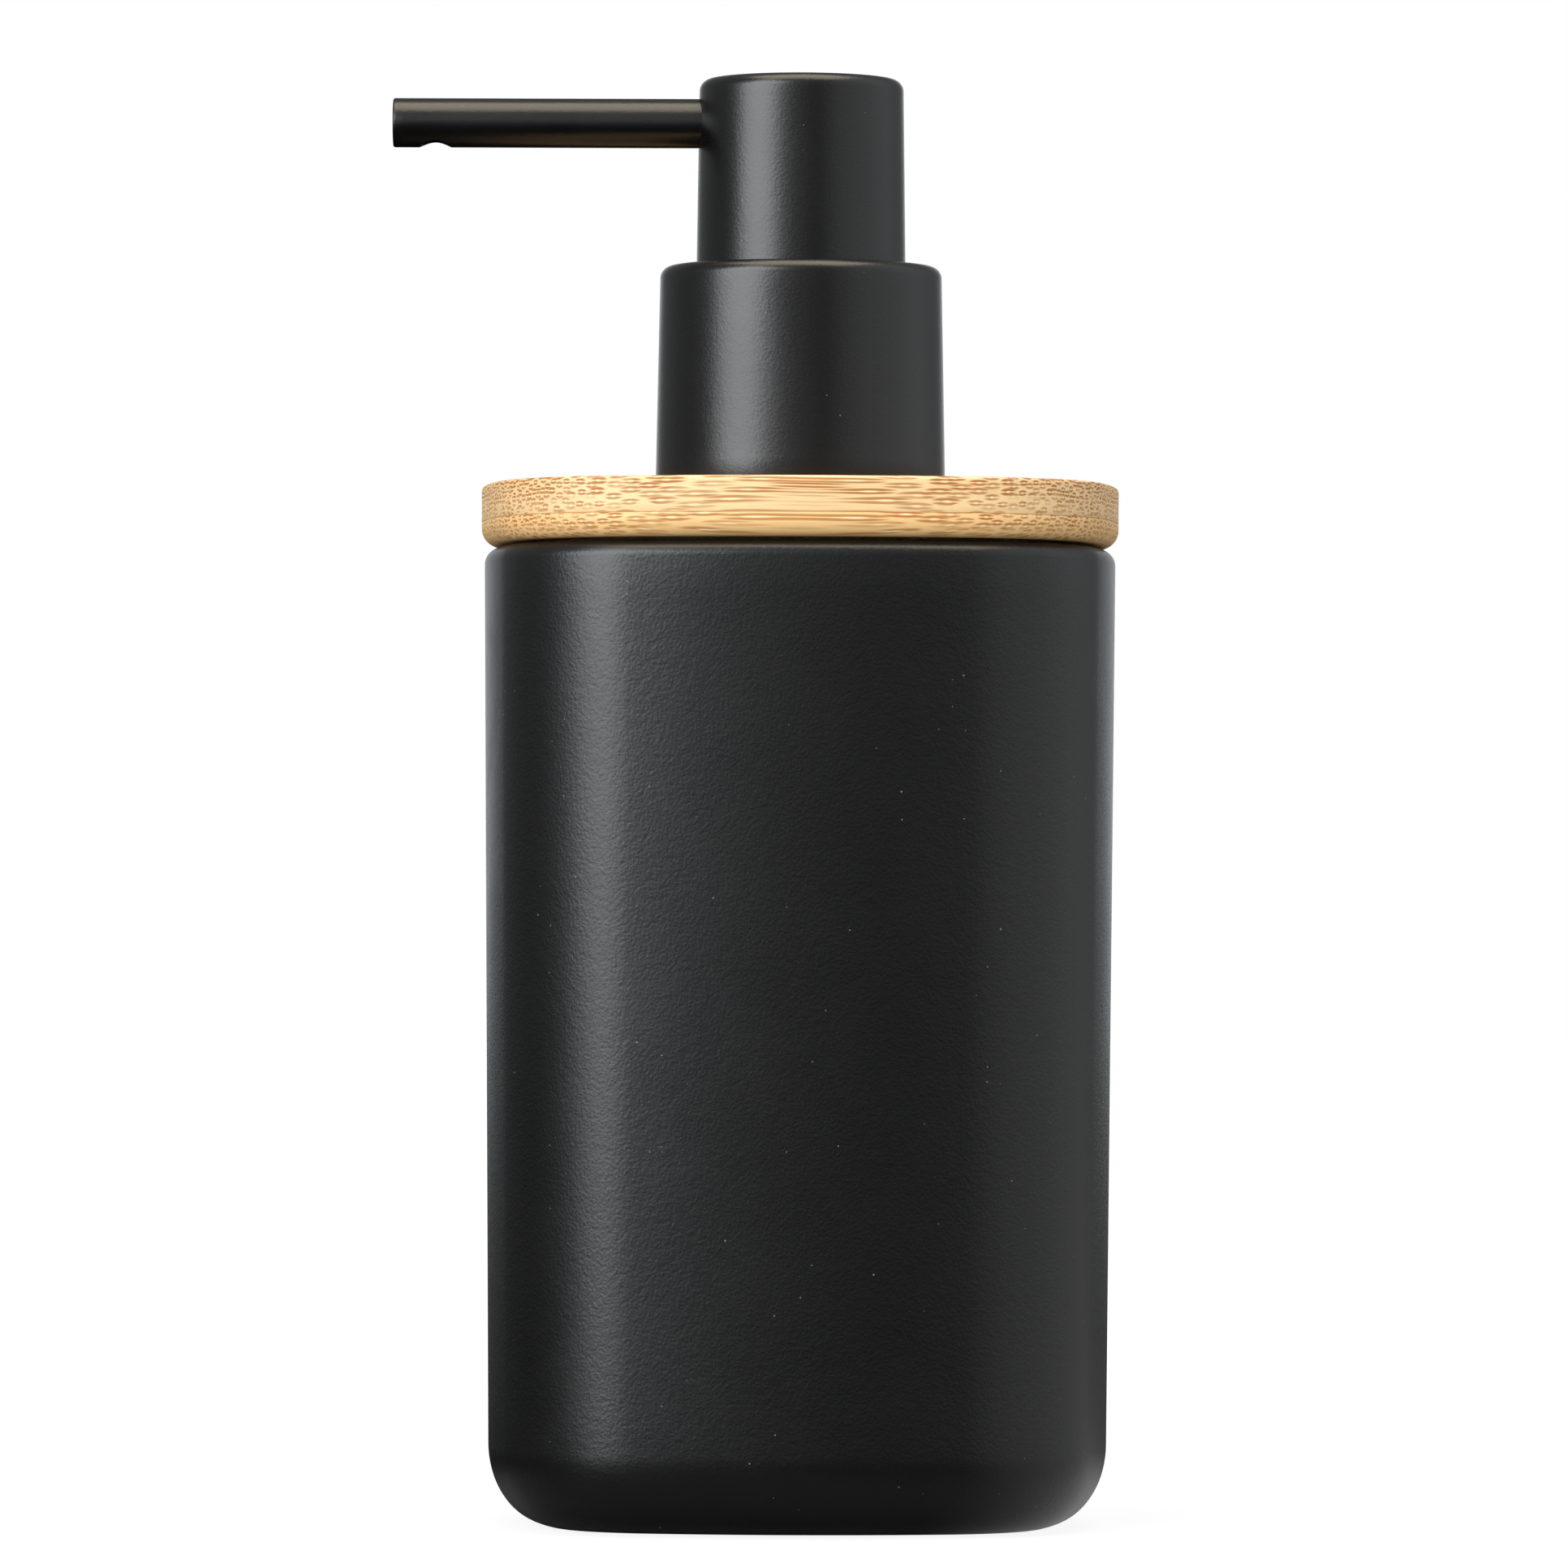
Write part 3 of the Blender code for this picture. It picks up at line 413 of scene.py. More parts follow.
def helix_tree():
    """A bar wound round the Z axis. Its ends close up to a smaller pitch and can taper away."""
    tree = bpy.data.node_groups.new("Helix bar", "GeometryNodeTree")
    socket(tree, "Geometry", "NodeSocketGeometry")
    for name, default in (
        ("Radius", 0.01), ("Bottom", 0.0), ("Height", 0.01), ("Turns", 1.0), ("Start turn", 0.0),
        ("Closed turns", 0.0), ("Bar radius", 0.001), ("Taper", 0.0),
    ):
        socket(tree, name, "NodeSocketFloat", default)
    socket(tree, "Steps per turn", "NodeSocketInt", 48)
    socket(tree, "Sides", "NodeSocketInt", 16)
    socket(tree, "Material", "NodeSocketMaterial")
    socket(tree, "Geometry", "NodeSocketGeometry", in_out="OUTPUT")
    given = outputs(tree, "NodeGroupInput")

    steps = calc(tree, "ROUND", given["Turns"] * given["Steps per turn"])
    line = node(tree, "GeometryNodeMeshLine", {"Count": steps + 1.0}).outputs["Mesh"]
    share = node(tree, "GeometryNodeInputIndex") / steps
    turned = share * given["Turns"]
    angle = (turned + given["Start turn"]) * TAU

    # Height along the wire: closed end turns rise by one bar's thickness, and the rest is even
    thick = given["Bar radius"] * 2.0
    closed = given["Closed turns"]
    low = calc(tree, "MINIMUM", turned, closed)
    high = calc(tree, "MAXIMUM", turned - (given["Turns"] - closed), 0.0)
    middle = turned - low - high
    open_turns = given["Turns"] - closed * 2.0
    end_rise = thick * (closed * 2.0)
    pitch = (given["Height"] - end_rise) / open_turns
    ends = (low + high) * thick
    height = given["Bottom"] + (middle * pitch + ends)
    reach = given["Radius"]
    spot = combine(tree, reach * calc(tree, "COSINE", angle), reach * calc(tree, "SINE", angle), height)
    placed = node(tree, "GeometryNodeSetPosition", {"Geometry": line, "Position": spot})
    curve = node(tree, "GeometryNodeMeshToCurve", {"Mesh": placed}).outputs["Curve"]
    upright = node(tree, "GeometryNodeSetCurveNormal", {"Curve": curve}, mode="Z_UP")

    # The bar thins towards its ends over the taper's share of its length
    from_end = calc(tree, "MINIMUM", share, 1.0 - share)
    rise = from_end / calc(tree, "MAXIMUM", given["Taper"], 1e-4)
    grow = calc(tree, "MAXIMUM", calc(tree, "SQRT", calc(tree, "MINIMUM", rise, 1.0)), 0.25)
    tapering = calc(tree, "GREATER_THAN", given["Taper"], 0.0)
    scale = tapering * grow + (1.0 - tapering)
    sizes = {"Resolution": given["Sides"], "Radius": given["Bar radius"]}
    ring = node(tree, "GeometryNodeCurvePrimitiveCircle", sizes, mode="RADIUS").outputs["Curve"]
    bar = node(
        tree,
        "GeometryNodeCurveToMesh",
        {"Curve": upright, "Profile Curve": ring, "Scale": scale, "Fill Caps": True},
    )
    finish_tree(tree, bar, given)
    return tree


def ring_copies_tree():
    """Copies of an upright rounded rib, spaced evenly round the Z axis."""
    tree = bpy.data.node_groups.new("Ring of ribs", "GeometryNodeTree")
    socket(tree, "Geometry", "NodeSocketGeometry")
    socket(tree, "Count", "NodeSocketInt", 12)
    for name in ("Radius", "Middle height", "Rib radius", "Rib height"):
        socket(tree, name, "NodeSocketFloat", 0.001)
    socket(tree, "Material", "NodeSocketMaterial")
    socket(tree, "Geometry", "NodeSocketGeometry", in_out="OUTPUT")
    given = outputs(tree, "NodeGroupInput")
    sizes = {"Vertices": given["Count"], "Radius": given["Radius"]}
    circle = node(tree, "GeometryNodeMeshCircle", sizes)
    lift = combine(tree, 0.0, 0.0, given["Middle height"])
    circle = node(tree, "GeometryNodeTransform", {"Geometry": circle, "Translation": lift})
    sizes = {"Vertices": 10, "Radius": given["Rib radius"], "Depth": given["Rib height"]}
    rib = node(tree, "GeometryNodeMeshCylinder", sizes).outputs["Mesh"]
    copies = node(tree, "GeometryNodeInstanceOnPoints", {"Points": circle, "Instance": rib})
    finish_tree(tree, copies.outputs["Instances"], given)
    return tree


# ---------------------------------------------------------------- mesh helpers


def arc(centre, reach, start, end, steps=8):
    """Points of a round edge as (inset or radius, height), both ends included."""
    angles = [start + (end - start) * step / steps for step in range(steps + 1)]
    return [(centre[0] + reach * math.cos(a), centre[1] + reach * math.sin(a)) for a in angles]


def run(first, last, pieces):
    """Points evenly along a straight stretch of a profile, both ends included."""
    return [
        tuple(a + (b - a) * step / pieces for a, b in zip(first, last)) for step in range(pieces + 1)
    ]


def circles(points):
    """Meridian points on circles, from (radius, height)."""
    return [(0.0, across, height) for across, height in points]


def outlines(points):
    """Meridian points on the bottle's outline, from (inset, height)."""
    return [(inset, OUTLINE, height) for inset, height in points]


def line_object(name, points):
    """A mesh of points joined in order, as a geometry tree's input."""
    mesh = bpy.data.meshes.new(name)
    mesh.from_pydata(points, [(index, index + 1) for index in range(len(points) - 1)], [])
    obj = bpy.data.objects.new(name, mesh)
    bpy.context.scene.collection.objects.link(obj)
    return obj


def seed(name):
    """An object for a tree that makes its own geometry and reads none."""
    return line_object(name, [(0, 0, 0), (0, 0, MM)])


def with_tree(obj, tree, values):
    """Puts a geometry tree on an object, with its inputs set by their identifiers."""
    modifier = obj.modifiers.new(tree.name, "NODES")
    modifier.node_group = tree
    for item in tree.interface.items_tree:
        if item.in_out == "INPUT" and item.name in values:
            modifier[item.identifier] = values[item.name]
    return bake(obj)


def bake(obj):
    """Makes what the modifiers give the object's own mesh, and removes them."""
    bpy.context.view_layer.update()
    graph = bpy.context.evaluated_depsgraph_get()
    mesh = bpy.data.meshes.new_from_object(obj.evaluated_get(graph))
    obj.modifiers.clear()
    obj.data = mesh
    mesh.name = obj.name
    return obj


def tidy_mesh(obj, turn=None, sharp=35.0):
    """Welds the mesh, points its faces outwards and shades it smooth up to an angle."""
    edit = bmesh.new()
    edit.from_mesh(obj.data)
    bmesh.ops.remove_doubles(edit, verts=edit.verts, dist=2e-6)
    bmesh.ops.dissolve_degenerate(edit, dist=1e-7, edges=edit.edges)
    bmesh.ops.recalc_face_normals(edit, faces=edit.faces)
    if turn is not None:
        bmesh.ops.transform(edit, matrix=turn, verts=edit.verts)
    edit.to_mesh(obj.data)
    edit.free()
    obj.data.shade_smooth()
    obj.data.set_sharp_from_angle(angle=math.radians(sharp))
    return obj


def sweep(name, meridian, material, steps=INNER_ROUND, outline=None, turn=None):
    """A piece swept from its meridian. outline holds the sizes of the crowned square."""
    values = {"Steps": steps, "Material": material, **(outline or {})}
    obj = with_tree(line_object(name, meridian), TREES["sweep"], values)
    if not obj.data.materials:
        obj.data.materials.append(material)
    return tidy_mesh(obj, turn)


def turned(name, profile, material, steps=INNER_ROUND, closed=True, turn=None):
    """A turned piece from (radius, height) points. A closed profile is a ring's section."""
    points = profile + profile[:1] if closed else profile
    return sweep(name, circles(points), material, steps, turn=turn)


def combine_meshes(target, tool, operation):
    """Joins or cuts with another object, which is then removed."""
    modifier = target.modifiers.new(operation, "BOOLEAN")
    modifier.operation = operation
    modifier.solver = "EXACT"
    modifier.object = tool
    bake(target)
    bpy.data.objects.remove(tool, do_unlink=True)
    return tidy_mesh(target)


def settle(obj, node_name):
    """Makes a finished piece stand for its node and move with the node's body."""
    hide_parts(node_name)
    NODE_SLOT[node_name]
    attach(obj, NODE_BODY[node_name])
    return obj


# Filled by the first operator: geometry trees, shader groups and materials by name
TREES = {}
EFFECTS = {}
FINISHES = {}
# Turns what was made about Z to lie along the spout, which points along -X
ALONG_SPOUT = Matrix.Rotation(-TAU / 4, 4, "Y")


def spout_turn():
    """Lays a piece that was turned about Z on the spout's own axis."""
    low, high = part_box("spout_tube")
    return Matrix.Translation((0, 0, (low.z + high.z) / 2)) @ ALONG_SPOUT


# ---------------------------------------------------------------- shared shader effects


def object_mm(tree):
    """Object coordinates in millimetres."""
    return scaled(tree, node(tree, "ShaderNodeTexCoord").outputs["Object"], 1 / MM)


def effect(name, inputs, results):
    """An empty shader group with the sockets given as (name, kind, default)."""
    tree = bpy.data.node_groups.new(name, "ShaderNodeTree")
    for label, kind, default in inputs:
        socket(tree, label, kind, default)
    for label, kind in results:
        socket(tree, label, kind, in_out="OUTPUT")
    return tree, outputs(tree, "NodeGroupInput")


NUMBER = "NodeSocketFloat"
COLOUR = "NodeSocketColor"


def peel_effect():
    """Height of an orange-peel skin, and a slow mottle for its colour."""
    tree, given = effect(
        "Orange peel",
        [("Peel size", NUMBER, 1.2), ("Grain size", NUMBER, 0.15), ("Grain share", NUMBER, 0.3)],
        [("Height", NUMBER), ("Mottle", NUMBER)],
    )
    spot = object_mm(tree)
    peel = noise(tree, spot, 1.0 / given["Peel size"], 2.0, roughness=0.45)["Fac"]
    grain = noise(tree, spot, 1.0 / given["Grain size"], 1.0)["Fac"]
    height = grain * given["Grain share"] + peel
    mottle = noise(tree, spot, 0.06, 3.0)["Fac"]
    node(tree, "NodeGroupOutput", {"Height": height, "Mottle": mottle})
    return tree


def dust_effect():
    """A mask of sparse fine specks."""
    tree, given = effect(
        "Dust specks",
        [("Spacing", NUMBER, 1.4), ("Speck size", NUMBER, 0.07), ("Share", NUMBER, 0.12)],
        [("Mask", NUMBER)],
    )
    settings = {"Vector": object_mm(tree), "Scale": 1.0 / given["Spacing"]}
    cells = node(tree, "ShaderNodeTexVoronoi", settings)
    lot = separate_colour(tree, cells.outputs["Color"])
    chosen = calc(tree, "LESS_THAN", lot["Red"], given["Share"])
    reach = given["Speck size"] * (lot["Green"] * 0.8 + 0.4)
    near = calc(tree, "LESS_THAN", cells.outputs["Distance"], reach)
    node(tree, "NodeGroupOutput", {"Mask": near * chosen})
    return tree


def handling_effect():
    """Slow smears that change how rough a surface looks."""
    tree, given = effect(
        "Handling", [("Base", NUMBER, 0.4), ("Change", NUMBER, 0.08)], [("Roughness", NUMBER)]
    )
    smear = noise(tree, object_mm(tree), 0.12, 4.0, roughness=0.6, distortion=0.8)["Fac"]
    rough = (smear - 0.5) * given["Change"] + given["Base"]
    node(tree, "NodeGroupOutput", {"Roughness": rough})
    return tree


def bamboo_effect():
    """Fibre bundles that run along X. Cut across they are rimmed dots, cut along they are streaks."""
    tree, given = effect(
        "Bamboo fibres",
        [("Glue height", NUMBER, 114.8), ("Lower ply", NUMBER, 2.7), ("Pitch", NUMBER, 1.0),
         ("Upper", COLOUR, (0.86, 0.62, 0.33, 1)), ("Lower", COLOUR, (0.8, 0.52, 0.24, 1)),
         ("Dark", COLOUR, (0.5, 0.22, 0.05, 1)), ("Light", COLOUR, (0.95, 0.8, 0.5, 1))],
        [("Color", COLOUR), ("Height", NUMBER), ("Dark mask", NUMBER)],
    )
    spot = object_mm(tree)
    axes = separate(tree, spot)
    over_glue = axes["Z"] - given["Glue height"]
    upper = calc(tree, "GREATER_THAN", over_glue, 0.0)
    in_lower = 1.0 - upper

    # The fibres wander slowly on their way along X
    slow = vector_calc(tree, "MULTIPLY", spot, (0.04, 0.15, 0.15))
    wander = separate_colour(tree, noise(tree, slow, 1.0, 1.0)["Color"])
    across = (wander["Red"] - 0.5) * 0.9 + axes["Y"]
    rise = in_lower * given["Lower ply"] + over_glue
    rise = (wander["Green"] - 0.5) * 0.6 + rise
    full_rise = 4.2  # millimetres over which the bundles get darker
    share = remap(tree, rise, 0.0, full_rise, kind="LINEAR")

    # Bundles stand in staggered rows, so the cells lie on a lattice turned by an eighth
    wide = given["Pitch"] * 1.15
    tall = given["Pitch"] * (1.45 - share * 0.25)
    ply_shift = 37.3  # cells between the two plies' patterns
    column = upper * ply_shift + across / wide
    level = rise / tall
    lattice = combine(tree, column + level, column - level)
    settings = {"Vector": lattice, "Scale": 1.0, "Randomness": 0.4}
    cells = node(tree, "ShaderNodeTexVoronoi", settings, voronoi_dimensions="2D")
    offset = separate(tree, vector_calc(tree, "SUBTRACT", lattice, cells.outputs["Position"]))
    sideways = (offset["X"] + offset["Y"]) * wide
    upwards = (offset["X"] - offset["Y"]) * tall
    lot = separate_colour(tree, cells.outputs["Color"])

    # Each bundle is a light core between two dark crescents
    size = given["Pitch"] * (lot["Red"] * 0.16 + 0.42)
    outward = sideways / size
    upward = upwards / (size * 1.1)
    distance = vector_calc(tree, "LENGTH", combine(tree, outward, upward))
    band = remap(tree, abs(distance - 1.0), 0.8, 0.25)
    lean = abs(upward) / calc(tree, "MAXIMUM", distance, 0.01)
    crescent = band * remap(tree, lean, 0.1, 0.6)
    core = remap(tree, distance, 0.75, 0.25)

    # Bundles get darker up the ply, differ from each other and fade along their length
    fading = noise(tree, vector_calc(tree, "MULTIPLY", spot, (0.06, 0.8, 0.8)), 1.0, 2.0)["Fac"]
    fading = remap(tree, fading, 0.3, 0.5, 0.6, 1.0)
    present = remap(tree, lot["Blue"], 0.22 - share * 0.6, 0.34 - share * 0.6)
    strength = fading * (lot["Green"] * 0.35 + 0.65) * present
    depth = strength * (share * 0.7 + 0.7)
    dark = calc(tree, "MULTIPLY", crescent, depth, clamp=True)
    light = core * strength

    # Fine straight grain and slow bands of tone
    fine = vector_calc(tree, "MULTIPLY", spot, (0.15, 6.0, 6.0))
    fine = noise(tree, fine, 1.0, 3.0, roughness=0.65)["Fac"]
    tone = noise(tree, vector_calc(tree, "MULTIPLY", spot, (0.03, 0.4, 0.8)), 1.0, 2.0)["Fac"]
    ground = mix_colour(tree, upper, given["Lower"], given["Upper"])
    shade = fine * 0.22 + 0.89 + (tone - 0.5) * 0.26
    toned = scaled(tree, ground, shade)
    lit = mix_colour(tree, light * 0.7, toned, given["Light"])
    rimmed = mix_colour(tree, dark, lit, given["Dark"])

    # The glue line between the plies
    glue = remap(tree, abs(over_glue), 0.1, 0.03) * 0.5
    glued = mix_colour(tree, glue, rimmed, given["Dark"])
    height = fine * 0.3 - (dark + glue)
    node(tree, "NodeGroupOutput", {"Color": glued, "Height": height, "Dark mask": dark})
    return tree


def use(tree, group, values=None):
    """Places a shader group in a material, with its values."""
    made = tree.nodes.new("ShaderNodeGroup")
    made.node_tree = group
    for name, value in (values or {}).items():
        made.inputs[name].default_value = value
    return Outputs(tree, made)


# ---------------------------------------------------------------- materials


def blank_material(name, constants):
    """A material with only its Principled shader, and that shader's constant values."""
    material = bpy.data.materials.new(name)
    material.use_nodes = True
    tree = material.node_tree
    tree.nodes.clear()
    shader = node(tree, "ShaderNodeBsdfPrincipled", constants)
    node(tree, "ShaderNodeOutputMaterial", {"Surface": shader.outputs[0]})
    return material, tree, shader


def join(tree, source, shader, name):
    tree.links.new(output_of(source), shader.inputs[name])


def bumped(tree, shader, height, strength, distance):
    bump = node(tree, "ShaderNodeBump", {"Height": height, "Strength": strength, "Distance": distance})
    tree.links.new(bump.outputs["Normal"], shader.inputs["Normal"])


def tinted(tree, colour, mottle, change):
    """A colour that the mottle makes a little lighter and darker."""
    factor = remap(tree, mottle, 0.3, 0.7, 1 - change, 1 + change, "LINEAR")
    return scaled(tree, colour[:3], factor)


def black_skin(name, colour, peel, grain, rough, bump):
    """A black finish with orange peel, handling and a little dust. Peel and grain are millimetres."""
    material, tree, shader = blank_material(name, {"IOR": 1.47})
    sizes = {"Peel size": peel, "Grain size": grain, "Grain share": 1.3}
    skin = use(tree, EFFECTS["peel"], sizes)
    specks = use(tree, EFFECTS["dust"], {"Share": 0.2})["Mask"]
    ground = tinted(tree, colour, skin["Mottle"], 0.12)
    dusty = mix_colour(tree, specks * 0.35, ground, (0.35, 0.35, 0.34, 1.0))
    join(tree, dusty, shader, "Base Color")
    smear = use(tree, EFFECTS["handling"], {"Base": rough, "Change": 0.08})["Roughness"]
    join(tree, specks * 0.3 + smear, shader, "Roughness")
    bumped(tree, shader, skin["Height"], 1.0, bump)
    return material


def bamboo_material(finish, lid):
    material, tree, shader = blank_material("bamboo", {"IOR": 1.45, "Specular IOR Level": 0.4})
    fibres = use(tree, EFFECTS["bamboo"], {
        "Glue height": (bottom("bamboo_lid") + lid.lower_ply) / MM,
        "Lower ply": lid.lower_ply / MM,
        "Pitch": lid.bundle,
        "Upper": (*finish.bamboo, 1.0),
        "Lower": (*finish.bamboo_low, 1.0),
        "Dark": (*finish.bamboo_dark, 1.0),
    })
    join(tree, fibres["Color"], shader, "Base Color")
    smear = use(tree, EFFECTS["handling"], {"Base": 0.5, "Change": 0.1})["Roughness"]
    join(tree, fibres["Dark mask"] * 0.12 + smear, shader, "Roughness")
    bumped(tree, shader, fibres["Height"], 0.15, 0.02 * MM)
    return material


def moulded(name, colour, rough, constants, change=0.04, bump=0.006 * MM):
    """A moulded plastic or rubber with a fine skin."""
    material, tree, shader = blank_material(name, constants)
    skin = use(tree, EFFECTS["peel"], {"Peel size": 2.5, "Grain size": 0.2, "Grain share": 0.5})
    join(tree, tinted(tree, colour, skin["Mottle"], change), shader, "Base Color")
    smear = use(tree, EFFECTS["handling"], {"Base": rough, "Change": 0.12})["Roughness"]
    join(tree, smear, shader, "Roughness")
    bumped(tree, shader, skin["Height"], 0.8, bump)
    return material


def milky(weight):
    """The shader's constants for a plastic that lets a little light in."""
    depth = 2 * MM
    return {
        "Subsurface Weight": weight, "Subsurface Radius": (depth, depth, depth),
        "Subsurface Scale": 1.0,
    }


def steel_material():
    material, tree, shader = blank_material("stainless steel", {"Metallic": 1.0})
    along = vector_calc(tree, "MULTIPLY", object_mm(tree), (1.0, 1.0, 9.0))
    drawn = noise(tree, along, 1.0, 3.0)["Fac"]
    join(tree, tinted(tree, (0.62, 0.61, 0.59), drawn, 0.08), shader, "Base Color")
    join(tree, remap(tree, drawn, 0.3, 0.7, 0.16, 0.3), shader, "Roughness")
    bumped(tree, shader, drawn, 0.3, 0.01 * MM)
    return material


def foam_material():
    material, tree, shader = blank_material("black foam", {"Specular IOR Level": 0.3})
    cells = node(tree, "ShaderNodeTexVoronoi", {"Vector": object_mm(tree), "Scale": 2.6})
    skin = use(tree, EFFECTS["peel"], {"Peel size": 2.0})
    join(tree, tinted(tree, (0.03, 0.03, 0.03), skin["Mottle"], 0.2), shader, "Base Color")
    join(tree, remap(tree, cells.outputs["Distance"], 0.0, 0.6, 0.95, 0.8), shader, "Roughness")
    bumped(tree, shader, cells.outputs["Distance"], 0.7, 0.08 * MM)
    return material


def floor_material(studio):
    """White to the camera, and in reflections dark but for its right side. The floor shines though it is
    no lamp: the camera sees a painted shadow near the foot, reflections see painted shade and light that
    change with distance and a painted reflection at the right, and matt surfaces get a painted bounce
    light.
    """
    constants = {"Roughness": 0.8, "Specular IOR Level": 0.0, "Emission Color": (*WHITE, 1.0)}
    material, tree, shader = blank_material("studio floor", constants)
    path = outputs(tree, "ShaderNodeLightPath")
    seen = path["Is Camera Ray"]
    spot = object_mm(tree)
    grain = noise(tree, spot, 0.4, 3.0)["Fac"]
    distance = vector_calc(tree, "LENGTH", spot)
    # Painted shade and light for reflections: a level round the foot, darkest a hand away and lighter
    # again far off
    shaded = remap(tree, distance, 38.0, 75.0, studio.near_floor, studio.mid_floor)
    far_painted_light = remap(tree, distance, 300.0, 1500.0, 0.0, studio.far_floor)
    away = calc(tree, "MAXIMUM", shaded, far_painted_light)
    # A pale base colour for the camera, and the painted levels for other rays
    level = seen * 0.15 + away * (1.0 - seen)
    varied = level * remap(tree, grain, 0.3, 0.7, 0.97, 1.0, "LINEAR")
    join(tree, combine(tree, varied, varied, varied), shader, "Base Color")
    # Painted reflection and bounce: the floor shines for glossy rays at its right side, and for matt
    # surfaces everywhere
    rightward = separate(tree, spot)["X"] / calc(tree, "MAXIMUM", distance, 1.0)
    mirrored = path["Is Glossy Ray"] * studio.side_floor
    painted_side_reflection = remap(tree, rightward, 0.4, 0.95) * mirrored
    bounce = path["Is Diffuse Ray"] * studio.bounce
    painted_light_off_camera = calc(tree, "MAXIMUM", painted_side_reflection, bounce)
    # Painted shadow: what the camera sees of the floor dims a little near the foot
    camera_light_painted_shadow = remap(tree, distance, 60.0, 500.0, 0.9, 1.0)
    join(tree, seen * camera_light_painted_shadow + painted_light_off_camera, shader, "Emission Strength")
    return material


# ---------------------------------------------------------------- operators


class BuildTools(bpy.types.Operator):
    """Makes the geometry trees, the shared shader effects and the materials"""

    bl_idname = "dispenser.tools"
    bl_label = "Make trees and materials"

    def execute(self, context):
        scene = context.scene
        finish = scene.dispenser_finish
        TREES.update(sweep=sweep_tree(), helix=helix_tree(), ribs=ring_copies_tree())
        EFFECTS.update(
            peel=peel_effect(), dust=dust_effect(), handling=handling_effect(), bamboo=bamboo_effect()
        )
        FINISHES.update(
            matt_glaze=black_skin(
                "matt black glaze", finish.glaze, peel=1.0, grain=0.36, rough=0.35, bump=0.018 * MM
            ),
            black_plastic=black_skin(
                "satin black plastic", finish.black, peel=1.2, grain=0.33, rough=0.31, bump=0.011 * MM
            ),
            bamboo=bamboo_material(finish, scene.dispenser_lid),
            natural_plastic=moulded("natural plastic", finish.natural, 0.38, milky(0.25)),
            soft_polymer=moulded("soft milky polymer", (0.85, 0.85, 0.82), 0.42, milky(0.35)),
            silicone=moulded("grey silicone", (0.55, 0.56, 0.55), 0.55, {"Sheen Weight": 0.1}, 0.08),
            foam=foam_material(),
            steel=steel_material(),
        )
        return {"FINISHED"}


class BuildBottle(bpy.types.Operator):
    """Builds the bottle and its foot pad"""

    bl_idname = "dispenser.bottle"
    bl_label = "Build bottle"

    def execute(self, context):
        sizes = context.scene.dispenser_bottle
        foot, rim = bottom("bottle_body"), top("bottle_body")
        pad_top = top("base_pad")
        recess = radius("base_pad") + GAP
        recess_top = pad_top + GAP
        recess_edge = 0.2 * MM
        floor = foot + 5.0 * MM
        inner_edge = 0.8 * MM
        cove = 5.0 * MM
        wall = sizes.wall
        meridian = [
            (0.0, 0.0, recess_top),
            *circles([(recess / 2, recess_top), (recess, recess_top)]),
            (0.0, recess, foot + recess_edge),
            (0.0, recess + recess_edge, foot),
            *outlines(foot_curve(sizes, foot)),
            *outlines(run((0.0, foot + sizes.foot_height), (0.0, rim - sizes.shoulder), 24)[1:-1]),
            *outlines(arc((sizes.shoulder, rim - sizes.shoulder), -sizes.shoulder, 0.0, -TAU / 4, 10)),
            *outlines(arc((wall - inner_edge, rim - inner_edge), inner_edge, TAU / 4, 0.0, 6)),
            *outlines(run((wall, rim - inner_edge), (wall, floor + cove), 12)[1:-1]),
            *outlines(arc((wall + cove, floor + cove), -cove, 0.0, TAU / 4, 8)),
            (0.0, recess, floor),
            (0.0, 0.0, floor),
        ]
        glaze = FINISHES["matt_glaze"]
        outline = outline_sizes(sizes, 0.0)
        settle(sweep("bottle_body_shell", meridian, glaze, sizes.steps, outline), "bottle_body")

        edge = 0.15 * MM
        across = radius("base_pad")
        profile = [
            (0.0, pad_top),
            *arc((across - edge, pad_top - edge), edge, TAU / 4, 0.0, 3),
            *arc((across - edge, edge), edge, 0.0, -TAU / 4, 3),
            (0.0, 0.0),
        ]
        pad = turned("base_pad_disc", profile, FINISHES["foam"], NECK_ROUND, closed=False)
        settle(pad, "base_pad")
        return {"FINISHED"}


def foot_curve(sizes, foot):
    """The quarter of an ellipse from the underside out to the sides, as (inset, height)."""
    unit = arc((1.0, 1.0), -1.0, TAU / 4, 0.0, 20)
    return [(inset * sizes.foot_depth, foot + rise * sizes.foot_height) for inset, rise in unit]


def outline_sizes(sizes, offset, lean=True):
    """The sweep tree's inputs for an outline moved out from the bottle's by an offset."""
    return {
        "Half width": sizes.half_width + offset,
        "Corner": sizes.corner + offset,
        "Crown": sizes.crown + offset,
        "Lean": sizes.lean if lean else 0.0,
        "Foot height": bottom("bottle_body"),
        "Top height": top("bottle_body"),
    }


